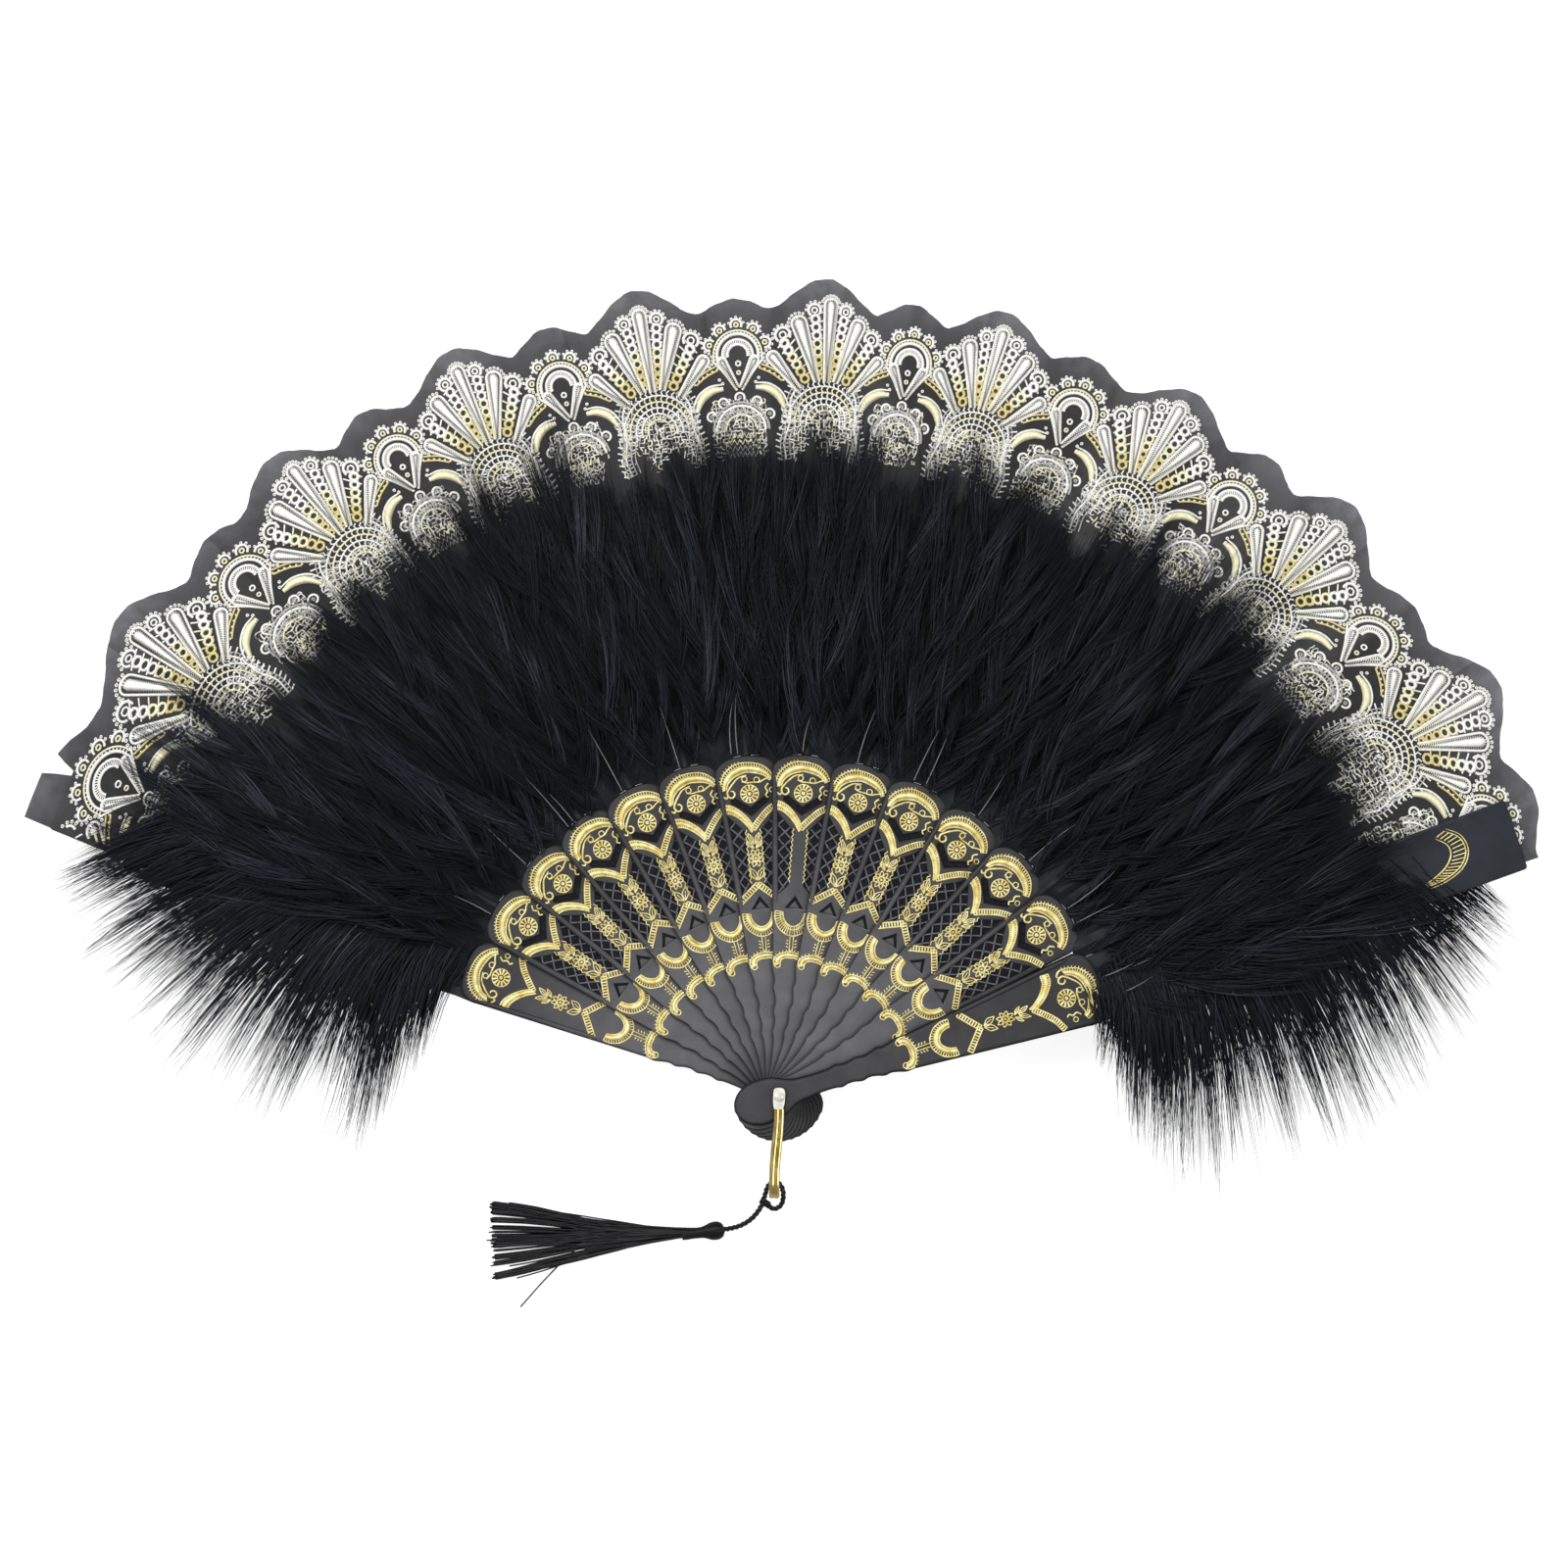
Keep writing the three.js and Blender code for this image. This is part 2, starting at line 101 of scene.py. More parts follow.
def feed(node, values):
    """Sets a node's inputs by name or number, and links those whose value is another's output."""
    for socket, value in values.items():
        if isinstance(value, bpy.types.NodeSocket):
            node.id_data.links.new(value, node.inputs[socket])
        else:
            node.inputs[socket].default_value = value


def add(tree, kind, values=(), **settings):
    """A new node of a tree, with its settings and inputs."""
    node = tree.nodes.new(kind)
    for setting, value in settings.items():
        setattr(node, setting, value)
    feed(node, dict(values))
    return node


def maths(tree, operation, *values):
    return add(tree, "ShaderNodeMath", enumerate(values), operation=operation).outputs[0]


def ranged(tree, value, start, end, low, high):
    """The value, mapped from start and end to low and high and held between them."""
    limits = {"From Min": start, "From Max": end, "To Min": low, "To Max": high}
    return add(tree, "ShaderNodeMapRange", {"Value": value, **limits}).outputs["Result"]


room = bpy.data.worlds.new("room")
room.use_nodes = True
glossy_ray = add(room.node_tree, "ShaderNodeLightPath").outputs["Is Glossy Ray"]
room_level = ranged(room.node_tree, glossy_ray, 0, 1, 0.6, 0.28)
feed(room.node_tree.nodes["Background"], {"Color": (1, 1, 1, 1), "Strength": room_level})
bpy.context.scene.world = room

table_data = bpy.data.meshes.new("table")
corners = [(x * TABLE_HALF, y * TABLE_HALF, 0) for x, y in ((-1, -1), (1, -1), (1, 1), (-1, 1))]
table_data.from_pydata(corners, [], [(0, 1, 2, 3)])
table = shown("table", table_data)
white = bpy.data.materials.new("white_table")
white.use_nodes = True
camera_ray = add(white.node_tree, "ShaderNodeLightPath").outputs["Is Camera Ray"]
feed(white.node_tree.nodes["Principled BSDF"], {
    "Base Color": (0.4, 0.4, 0.4, 1),
    "Roughness": 0.6,
    "Emission Color": (1, 1, 1, 1),
    "Emission Strength": maths(white.node_tree, "MULTIPLY", camera_ray, TABLE_GLOW),
})
table_data.materials.append(white)


# Tassel cord: black rayon, three strands laid round each other, doubled into a loop round the
# bail's bridge and running on to the tassel's head. It lies limp on the table.
CORD_RADIUS = 0.6 * MM
CORD_LAY = 4.2 * MM
CORD_ROUTE = [(-3.2, -32.3, 0.8), (-1.4, -33.1, 1.5), (0.5, -32.0, 2.6), (1.2, -29.5, 3.2),
              (0.7, -26.8, 3.5), (-1.3, -25.0, 3.5), (-3.2, -26.6, 3.0), (-4.1, -29.2, 2.0),
              (-4.9, -31.8, 1.2), (-6.0, -33.8, 0.8), (-7.7, -35.8, 0.8), (-9.9, -37.4, 0.8),
              (-12.6, -38.5, 1.1), (-15.9, -39.1, 2.5)]


def through(points, steps):
    """A smooth line through the given points, with a number of steps between each two."""
    points = np.asarray(points, float)
    ends = np.vstack([2 * points[0] - points[1], points, 2 * points[-1] - points[-2]])
    share = np.linspace(0, 1, steps, endpoint=False)[:, None]
    made = []
    for a, b, c, d in zip(ends, ends[1:], ends[2:], ends[3:]):
        slope, bend = a - 2.5 * b + 2 * c - d / 2, 1.5 * (b - c) + (d - a) / 2
        made.append(b + share * (c - a) / 2 + share**2 * slope + share**3 * bend)
    return np.vstack([*made, points[-1:]])


def mottle_group():
    """Faint unevenness that every finish has: a mask from 0 to 1 in spots of a given size."""
    group = bpy.data.node_groups.new("mottle", "ShaderNodeTree")
    for socket, in_out in [("Spots per metre", "INPUT"), ("Contrast", "INPUT"), ("Mask", "OUTPUT")]:
        group.interface.new_socket(socket, in_out=in_out, socket_type="NodeSocketFloat")
    given = add(group, "NodeGroupInput").outputs
    place = add(group, "ShaderNodeTexCoord").outputs["Object"]
    noise = add(group, "ShaderNodeTexNoise",
                {"Vector": place, "Scale": given["Spots per metre"], "Detail": 4})
    uneven = maths(group, "SUBTRACT", noise.outputs["Fac"], 0.5)
    mask = add(group, "ShaderNodeMath", {0: uneven, 1: given["Contrast"], 2: 0.5},
               operation="MULTIPLY_ADD", use_clamp=True)
    add(group, "NodeGroupOutput", {"Mask": mask.outputs[0]})
    return group


mottle = mottle_group()
MOTTLE_CONTRAST = 2.4


def shader_of(material):
    return material.node_tree.nodes["Principled BSDF"]


def finish_of(name, dark, light, roughness, metallic=0.0, spots=900, bump=0.1):
    """A material that mottles between two colours and two roughnesses, with a slight bump."""
    material = bpy.data.materials.new(name)
    material.use_nodes = True
    tree = material.node_tree
    group = add(tree, "ShaderNodeGroup", node_tree=mottle, name="mottle")
    feed(group, {"Spots per metre": spots, "Contrast": MOTTLE_CONTRAST})
    mask = group.outputs["Mask"]
    colour = add(tree, "ShaderNodeMix", data_type="RGBA", name="colour")
    feed(colour, {"A": (*dark, 1), "B": (*light, 1), "Factor": mask})
    relief = add(tree, "ShaderNodeBump", {"Strength": bump, "Distance": 0.05 * MM, "Height": mask})
    feed(shader_of(material), {
        "Metallic": metallic,
        "Base Color": colour.outputs["Result"],
        "Roughness": ranged(tree, mask, 0, 1, *roughness),
        "Normal": relief.outputs["Normal"],
    })
    return material


def multiplied(tree, colour, shade, factor):
    """A colour multiplied by a shade, in part or in full."""
    made = add(tree, "ShaderNodeMix", data_type="RGBA", blend_type="MULTIPLY")
    feed(made, {"Factor": factor, "A": colour, "B": shade})
    return made.outputs["Result"]


def swept_tree():
    """Sweeps a rounded section along every edge line of a mesh, as thread, barb or foil line.
    The lines' own girth attribute scales the section from point to point."""
    tree = bpy.data.node_groups.new("swept_threads", "GeometryNodeTree")
    for socket, kind in [
        ("Lines", "Geometry"),
        ("Half width", "Float"),
        ("Half height", "Float"),
        ("Sides", "Int"),
        ("Lobe depth", "Float"),
        ("Lobes", "Float"),
        ("Turn per metre", "Float"),
        ("Finish", "Material"),
    ]:
        tree.interface.new_socket(socket, in_out="INPUT", socket_type=f"NodeSocket{kind}")
    tree.interface.new_socket("Threads", in_out="OUTPUT", socket_type="NodeSocketGeometry")
    given = add(tree, "NodeGroupInput").outputs

    def step(kind, values=(), **settings):
        return add(tree, kind, values, **settings).outputs[0]

    curve = step("GeometryNodeMeshToCurve", {"Mesh": given["Lines"]})
    curve = step("GeometryNodeSetCurveNormal", {"Curve": curve}, mode="Z_UP")
    along = add(tree, "GeometryNodeSplineParameter").outputs["Length"]
    turn = maths(tree, "MULTIPLY", along, given["Turn per metre"])
    curve = step("GeometryNodeSetCurveTilt", {"Curve": curve, "Tilt": turn})
    circle = step("GeometryNodeCurvePrimitiveCircle", {"Radius": 1, "Resolution": given["Sides"]})
    where = step("GeometryNodeInputPosition")
    spot = add(tree, "ShaderNodeSeparateXYZ", {0: where}).outputs
    bearing = maths(tree, "ARCTAN2", spot["Y"], spot["X"])
    wave = maths(tree, "COSINE", maths(tree, "MULTIPLY", bearing, given["Lobes"]))
    depth = maths(tree, "MULTIPLY_ADD", wave, given["Lobe depth"], 1)
    swell = step("ShaderNodeVectorMath", {0: where, "Scale": depth}, operation="SCALE")
    lobed = step("GeometryNodeSetPosition", {"Geometry": circle, "Position": swell})
    size = step("ShaderNodeCombineXYZ",
                {"X": given["Half width"], "Y": given["Half height"], "Z": 1})
    section = step("GeometryNodeTransform", {"Geometry": lobed, "Scale": size})
    girth = add(tree, "GeometryNodeInputNamedAttribute", {"Name": "girth"}).outputs["Attribute"]
    made = step("GeometryNodeCurveToMesh",
                {"Curve": curve, "Profile Curve": section, "Scale": girth, "Fill Caps": True})
    made = step("GeometryNodeSetShadeSmooth", {"Geometry": made})
    made = step("GeometryNodeRealizeInstances", {"Geometry": made})
    made = step("GeometryNodeSetMaterial", {"Geometry": made, "Material": given["Finish"]})
    add(tree, "NodeGroupOutput", {"Threads": made})
    return tree


swept = swept_tree()


def plain_mesh(holder):
    """The object's evaluated shape as a plain mesh."""
    bpy.context.view_layer.update()
    evaluated = holder.evaluated_get(bpy.context.evaluated_depsgraph_get())
    made = bpy.data.meshes.new_from_object(evaluated)
    made.name = holder.name
    return made


def threads(name, lines, girths, finish, width, height, sides=6, lobes=(0, 0), turn=0, tints=None):
    """One object of swept threads. Each line is an array of points in metres, and each girth is
    a number or an array that scales the section along it."""
    points = np.vstack(lines)
    sizes = [len(line) for line in lines]
    ends = np.cumsum(sizes)
    starts = np.delete(np.arange(len(points) - 1), ends[:-1] - 1)
    data = bpy.data.meshes.new(name)
    data.vertices.add(len(points))
    data.vertices.foreach_set("co", points.ravel())
    data.edges.add(len(starts))
    data.edges.foreach_set("vertices", np.stack([starts, starts + 1], 1).ravel().astype(np.int32))
    for label, given in (("girth", girths), ("tint", tints)):
        if given is None:
            continue
        values = [np.broadcast_to(value, size) for value, size in zip(given, sizes)]
        store = data.attributes.new(label, "FLOAT", "POINT")
        store.data.foreach_set("value", np.concatenate(values).astype(np.float32))
    piece = shown(name, data)
    modifier = piece.modifiers.new("swept", "NODES")
    modifier.node_group = swept
    values = [float(width), float(height), sides, *map(float, lobes), float(turn), finish]
    inputs = [item for item in swept.interface.items_tree if item.in_out == "INPUT"]
    for item, value in zip(inputs[1:], values):
        modifier[item.identifier] = value
    made = plain_mesh(piece)
    piece.modifiers.clear()
    piece.data = made
    bpy.data.meshes.remove(data)
    return piece


def thread_mesh(*given, **more):
    """The mesh alone of swept threads, for a piece that is put together from several."""
    piece = threads(*given, **more)
    data = piece.data
    bpy.data.objects.remove(piece)
    return data


black_silk = finish_of(
    "black_tassel_silk", (0.002, 0.002, 0.003), (0.007, 0.007, 0.009), (0.3, 0.45), spots=1800
)
feed(shader_of(black_silk), {"Specular IOR Level": 0.3})

cord_line = through(CORD_ROUTE, 8) * MM
cord = threads("tassel_cord_laid", [cord_line], [1.0], black_silk, CORD_RADIUS * 1.12,
               CORD_RADIUS * 1.12, sides=18, lobes=(0.2, 3), turn=2 * math.pi / CORD_LAY)
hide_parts("tassel_cord")
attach(cord, "tassel")


# Inner sticks: twelve black styrene sticks, one mould. Each has a scalloped tail and shank, a
# wedge head with two latticed pockets sunk in its face, and a thin rib that runs out under the
# leaf.
BACK_ANGLE = 157.4
GAPS = [11.1, 10.5, 10.0, 9.9, 10.0, 10.3, 10.2, 10.5, 10.3, 10.5, 10.9, 11.2, 13.2]
ANGLES = [BACK_ANGLE - sum(GAPS[:number]) for number in range(len(GAPS) + 1)]
GUARD_SEAT = 2.0
GUARD_THICK = 2.4
STICK_THICK = 1.2
POCKET_FLOOR = 0.5
LAYER_PITCH = 1.6
FIRST_LAYER = 4.8
PIN_BORE = 1.1
TAIL = [(-12.6, 2.6), (-10.4, 4.9), (-7, 6.2), (-3.5, 6.3), (-0.5, 5.8), (2.1, 4.7)]
SHANK = [(4.6, 3.6), (7, 3.2), (12.1, 2.9), (16, 3), (17.9, 3.4), (19.9, 3), (21.8, 3.1),
         (24, 3.6), (26.1, 3.2), (28.1, 3.5), (30.4, 4.2), (32.4, 4), (34.3, 4.4), (36.7, 5.1), (39, 5)]
SHANK_END = 39
SHANK_HALF = 5
HEAD_CORNER = 91.5
HEAD_TOP = 97.4
STICK_HEAD = 9.5
RIB_START = 90.5
RIB_TIP = 223.5
SHARP_ANGLE = math.radians(50)
WELD = 0.002
LATTICE_PITCH = 3.9


def layer_bottom(number):
    return GUARD_SEAT if number == 0 else FIRST_LAYER + (number - 1) * LAYER_PITCH


def stick_outline(head):
    """Half outline from the tail's end to the middle of the head's top, then its mirror."""
    side = through([(-13.4, 0.01), *TAIL, *SHANK], 4)
    bow = np.linspace(0, 1, 15)[:, None]
    corner, knee, top = (np.array(p) for p in [(HEAD_CORNER, head), (HEAD_TOP, head), (HEAD_TOP, 0)])
    crown = (1 - bow) ** 2 * corner + 2 * bow * (1 - bow) * knee + bow**2 * top
    rim = np.vstack([side, crown])
    return np.vstack([rim, (rim * (1, -1))[-2:0:-1]])


bearing = np.linspace(0, 2 * math.pi, 24, endpoint=False)
pin_hole = PIN_BORE * np.stack([np.cos(bearing), np.sin(bearing)], 1)


def plate(name, rings, bottom, thick, chamfer):
    """A flat plate with holes, its edges broken by a small chamfer. Millimetres."""
    data = bpy.data.curves.new(name, "CURVE")
    data.dimensions, data.fill_mode = "2D", "BOTH"
    data.extrude = (thick / 2 - chamfer) * MM
    data.bevel_depth, data.offset = chamfer * MM, -chamfer * MM
    data.bevel_resolution = 3 if chamfer > 0.6 else 1
    for ring in rings:
        spline = data.splines.new("POLY")
        spline.points.add(len(ring) - 1)
        spline.use_cyclic_u = True
        places = np.hstack([ring * MM, np.zeros((len(ring), 1)), np.ones((len(ring), 1))])
        spline.points.foreach_set("co", places.ravel())
    holder = shown(name, data)
    made = plain_mesh(holder)
    bpy.data.objects.remove(holder)
    made.transform(Matrix.Translation((0, 0, (bottom + thick / 2) * MM)))
    return made


def joined(name, meshes, finishes):
    """One mesh of several, each with the number of its finish. Flat faces, which are cut into
    triangles, stay flat and the chamfers beside them are rounded."""
    whole = bmesh.new()
    for mesh, finish in meshes:
        known = len(whole.faces)
        whole.from_mesh(mesh)
        whole.faces.ensure_lookup_table()
        for face in whole.faces[known:]:
            face.material_index = finish
    bmesh.ops.remove_doubles(whole, verts=whole.verts, dist=WELD * MM)
    made = bpy.data.meshes.new(name)
    whole.to_mesh(made)
    whole.free()
    made.set_sharp_from_angle(angle=SHARP_ANGLE)
    made.polygons.foreach_set("use_smooth", [len(face.vertices) > 3 for face in made.polygons])
    for finish in finishes:
        made.materials.append(finish)
    return made


def window_ends(share):
    """Where a window starts and ends, from its side by the stem to its outer side."""
    return 60.0 - 2.8 * share, 75.6 + 4.7 * share


def edge_at(head, radius):
    """Half width of a stick between its shank and the corner of its head."""
    return SHANK_HALF + (head - SHANK_HALF) * (radius - SHANK_END) / (HEAD_CORNER - SHANK_END)


def window_side(radius):
    """Half width of a window's outer edge, 1.7 mm inside the stick's own edge."""
    return edge_at(STICK_HEAD, radius) - 1.7


def windows():
    near, far = np.linspace(*window_ends(0), 8), np.linspace(*window_ends(1), 8)
    inner = np.stack([near, np.full(8, 2.3)], 1)
    outer = np.stack([far, window_side(far)], 1)
    ring = np.vstack([inner, outer[::-1]])
    return [ring, ring * (1, -1)]


CHEVRON = np.array(
    [(80.2, 0), (84.2, 5.4), (86.2, 5.4), (82.2, 0), (86.2, -5.4), (84.2, -5.4)], float
)
TRIANGLE = np.array([(53.5, 2.5), (56.9, 0), (53.5, -2.5)], float)
TRIANGLE_FLOOR = np.array([(53.5, 1.7), (55.6, 0), (53.5, -1.7)], float)

black_plastic = finish_of(
    "black_styrene", (0.066, 0.066, 0.070), (0.086, 0.086, 0.090), (0.22, 0.3), spots=160, bump=0.03
)
# Pocket floors: a near-black copy of the plastic's colour, painted shade in the recesses
pocket_painted_shade = finish_of(
    "pocket_floor", (0.004, 0.004, 0.005), (0.012, 0.012, 0.014), (0.3, 0.45), spots=1200
)
# Lattice bars: a paler, bluish grey copy of the plastic's colour, a painted highlight on the bars
lattice_painted_highlight = finish_of(
    "pocket_lattice", (0.085, 0.085, 0.10), (0.16, 0.16, 0.19), (0.22, 0.36), spots=900
)
feed(shader_of(pocket_painted_shade), {"Specular IOR Level": 0.12})

# The plastic's colour is darkened as painted shade in seams, on sloped edges and at the tails by the
# pivot, and is paler along the shanks and darker towards the heads
tree = black_plastic.node_tree
seam_occlusion = add(tree, "ShaderNodeAmbientOcclusion", {"Distance": 1.4 * MM}).outputs["AO"]
place = add(tree, "ShaderNodeTexCoord").outputs["Object"]
reach = add(tree, "ShaderNodeVectorMath", {0: place}, operation="LENGTH").outputs["Value"]
facing = add(tree, "ShaderNodeNewGeometry").outputs["Normal"]
upright = add(tree, "ShaderNodeSeparateXYZ", {0: facing}).outputs["Z"]
shank_to_head_tone = ranged(tree, reach, 38 * MM, 85 * MM, 1.4, 0.55)
# Painted shade in the seams between sticks, from ambient occlusion
worn = maths(tree, "MULTIPLY", shank_to_head_tone, ranged(tree, seam_occlusion, 0.35, 0.95, 0.12, 1))
# Painted shade where the tails stack by the pivot
worn = maths(tree, "MULTIPLY", ranged(tree, reach, 10 * MM, 20 * MM, 0.5, 1), worn)
# Painted shade on slopes: chamfers and rounded edges are darker
worn = maths(tree, "MULTIPLY", ranged(tree, upright, 0.55, 0.98, 0.25, 1), worn)
glossed = ranged(tree, upright, 0.965, 0.998, 0, 0.25)
feed(shader_of(black_plastic), {
    "Coat Roughness": 0.16,
    "Coat Weight": glossed,
    "Specular IOR Level": glossed,
    "Base Color": multiplied(tree, tree.nodes["colour"].outputs["Result"], worn, 1),
})

whole_rings = [stick_outline(STICK_HEAD), pin_hole]
cut_rings = [*whole_rings, *windows(), CHEVRON, TRIANGLE]
# The floor plate under the face shows this painted shade in the windows, in the chevron and round the
# triangle's own floor
stick_floor = plate("stick_floor", whole_rings, 0, POCKET_FLOOR + 0.1, 0.1)
triangle_floor = plate("triangle_floor", [TRIANGLE_FLOOR], 0.3, 0.4, 0.05)
stick_plate = plate("stick_plate", cut_rings, 0.3, STICK_THICK - 0.3, 0.4)
rib_ring = np.array([(RIB_START, -1.5), (RIB_TIP, -1), (RIB_TIP, 1), (RIB_START, 1.5)], float)
stick_rib = plate("stick_rib", [rib_ring], 0, 0.5, 0.1)


def turned(mesh, number, bottom):
    """A copy of a mesh, turned from +X to a stick's direction and lifted to its layer."""
    made = mesh.copy()
    spin = Matrix.Rotation(math.radians(ANGLES[number]), 4, "Z")
    made.transform(spin @ Matrix.Translation((0, 0, bottom * MM)))
    return made


def put(name, mesh, body, slot, *replaced):
    piece = shown(name, mesh)
    if replaced:
        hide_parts(*replaced)
    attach(piece, body)


def raised_rail(head, foot, height):
    """Rounded bead along the left edge of a stick's face, from below its windows to its head."""
    run = np.linspace(54, RIB_START, 60)
    line = np.stack([run, edge_at(head, run) - 0.95, np.full(60, foot)], 1) * MM
    girth = 1 - np.abs(np.linspace(-1, 1, 60)) ** 12 * 0.8
    return thread_mesh("rail", [line], [girth], black_plastic, 0.75 * MM, height * MM, sides=10)


# Lattice bars cross in each pocket, lower than the plate's face
bars = []
for start in np.arange(53.5, 84, LATTICE_PITCH):
    for slope in (1, -1):
        line = []
        for share in np.linspace(0, 1, 13):
            radius = start + 2 + slope * (share - 0.5) * 4.4
            first, last = window_ends(share)
            across = 2.1 + share * (window_side(min(max(radius, first), last)) - 1.9)
            if first - 0.2 <= radius <= last + 0.2:
                line.append((radius, across, 0.66))
        if len(line) > 1:
            bars += [np.array(line) * MM, np.array(line) * (MM, -MM, MM)]
lattice = thread_mesh("lattice", bars, [1.0] * len(bars), lattice_painted_highlight, 0.24 * MM, 0.3 * MM)
stick_rail = raised_rail(STICK_HEAD, STICK_THICK - 0.05, 0.3)
stick_shape = joined(
    "stick_shape",
    [(stick_plate, 0), (stick_rib, 0), (stick_rail, 0), (triangle_floor, 0),
     (stick_floor, 1), (lattice, 2)],
    [black_plastic, pocket_painted_shade, lattice_painted_highlight],
)
for number in range(1, 13):
    name = f"stick_{number}"
    put(f"{name}_moulded", turned(stick_shape, number, layer_bottom(number)), name,
        "black_plastic", name)


# Gold print: hot foil stamped on the face of every stick and guard before the fan is pinned.
# Ladder bands, a rosette under a hatched crest, a flowered stem and a bracket of two scrolls.
FOIL_LIFT = 0.02
FOIL_HALF_HEIGHT = 0.06
ROSETTE = (86.4, 0)
FLOWER = (68.0, 0)
gold_foil = finish_of(
    "gold_foil", (0.66, 0.48, 0.10), (1.0, 0.93, 0.48), (0.28, 0.45), metallic=0.2, spots=520
)

def beside(line, gap):
    """The line moved sideways by a gap."""
    step = np.gradient(line, axis=0)
    step /= np.linalg.norm(step, axis=1)[:, None]
    return line + gap * step[:, ::-1] * (-1, 1)


def along_line(line, pitch):
    """Places at even steps along a line."""
    run = np.concatenate([[0], np.cumsum(np.linalg.norm(np.diff(line, axis=0), axis=1))])
    places = np.linspace(0, run[-1], max(2, int(run[-1] / pitch) + 1))
    return np.stack([np.interp(places, run, line[:, axis]) for axis in range(line.shape[1])], 1)


def ladder(points, gap, pitch=0.82, width=0.25):
    """A band of two border lines with rungs between them."""
    middle = through(points, 8)
    rungs = along_line(middle, pitch)
    left, right = beside(rungs, gap), beside(rungs, -gap)
    made = [(beside(middle, gap), 0.2), (beside(middle, -gap), 0.2)]
    return made + [(np.array([a, b]), width) for a, b in zip(left, right)]


def band(outer, inner, pitch, width, core, fill):
    """A hatched band between two lines, filled with gold along its inner part."""
    outer, inner = (along_line(through(line, 8), 0.2) for line in (outer, inner))
    spots = np.linspace(0, 1, max(3, int(len(outer) * 0.2 / pitch)))
    rungs = [line[np.round(spots * (len(line) - 1)).astype(int)] for line in (outer, inner)]
    made = [(outer, 0.2), (inner, 0.2)] + [(np.array(pair), width) for pair in zip(*rungs)]
    middle = rungs[0] * core + rungs[1] * (1 - core)
    return made + [(middle, fill * np.linalg.norm(rungs[0] - rungs[1], axis=1))]


def arc(middle, radius, start, end, steps=16):
    bearing = np.radians(np.linspace(start, end, steps))
    return np.array(middle) + radius * np.stack([np.cos(bearing), np.sin(bearing)], 1)


def spot_at(middle, radius, bearing):
    return arc(middle, radius, bearing, bearing, 1)[0]


def taper(count, most, least=0.12):
    return least + (most - least) * np.sin(np.linspace(0, math.pi, count)) ** 0.7


def leaflet(root, tip, width):
    """A pointed leaf drawn as its outline, with a vein."""
    root, tip = np.array(root, float), np.array(tip, float)
    across = (tip - root)[::-1] * (-1, 1)
    across *= width / np.linalg.norm(across)
    sides = [through([root, (root + tip) / 2 + side * across, tip], 5) for side in (1, -1)]
    return [(side, 0.17) for side in sides] + [(np.array([root, root + 0.7 * (tip - root)]), 0.14)]


def rosette():
    made = [(arc(ROSETTE, 2.55, 0, 360, 30), 0.17), (arc(ROSETTE, 0.3, 0, 360, 8), 0.34)]
    made.append((arc(ROSETTE, 1.05, 0, 360, 16), 0.16))
    for bearing in np.arange(0, 360, 30):
        petal = [spot_at(ROSETTE, out, bearing) for out in (1.05, 1.5, 2.0, 2.5)]
        made.append((np.array(petal), np.array([0.16, 0.3, 0.36, 0.4])))
    return made


def crest():
    """A hatched plume that sweeps over the rosette from the left and ends in a curl, with a
    broken scroll on its right."""
    outer = [(87.6, 8.2), (90.2, 7.9), (92.8, 6.6), (94.9, 3.8), (95.4, 0.4), (94.6, -3.6),
             (92.6, -6.2), (90.6, -7.4)]
    inner = [(88.2, 6.4), (89.8, 5.8), (91.4, 4.1), (92.3, 1.9), (92.6, 0), (92.0, -2.9),
             (91.0, -5.0), (89.8, -6.0)]
    made = band(outer, inner, 0.75, 0.17, 0.42, 0.3)
    fringe = along_line(through(outer, 8), 0.95)
    for place in fringe[:12]:
        away = (place - ROSETTE) / np.linalg.norm(place - ROSETTE)
        made.append((np.array([place, place + 0.65 * away]), np.array([0.2, 0.1])))
    curl = through([(91.8, 0.4), (91.2, 2.8), (89.6, 4.6), (88.4, 5.6), (87.2, 6.3), (86.0, 5.9),
                    (85.7, 4.9), (86.6, 4.2), (87.5, 4.6), (87.6, 5.3)], 6)
    made.append((curl, taper(len(curl), 0.3, 0.17)))
    made += [(arc((90.7, 1.1), 0.75, 0, 360, 12), 0.17), (arc((90.2, -2.4), 0.8, 0, 360, 12), 0.17)]
    tie = through([(90.1, 1.9), (89.6, 0.4), (89.6, -1.2), (89.5, -3.0), (90.0, -4.2),
                   (90.4, -5.4)], 6)
    made.append((tie, 0.24))
    wave = through([(88.9, -5.6), (87.8, -4.7), (86.6, -5.2), (85.6, -4.6), (84.9, -5.2)], 6)
    made += [(wave, 0.26), (arc((87.0, -6.5), 0.7, 0, 360, 10), 0.16)]
    end = through([(87.6, 8.3), (86.4, 7.8), (85.6, 6.7), (86.2, 6.2)], 6)
    made.append((end, taper(len(end), 0.3)))
    return made


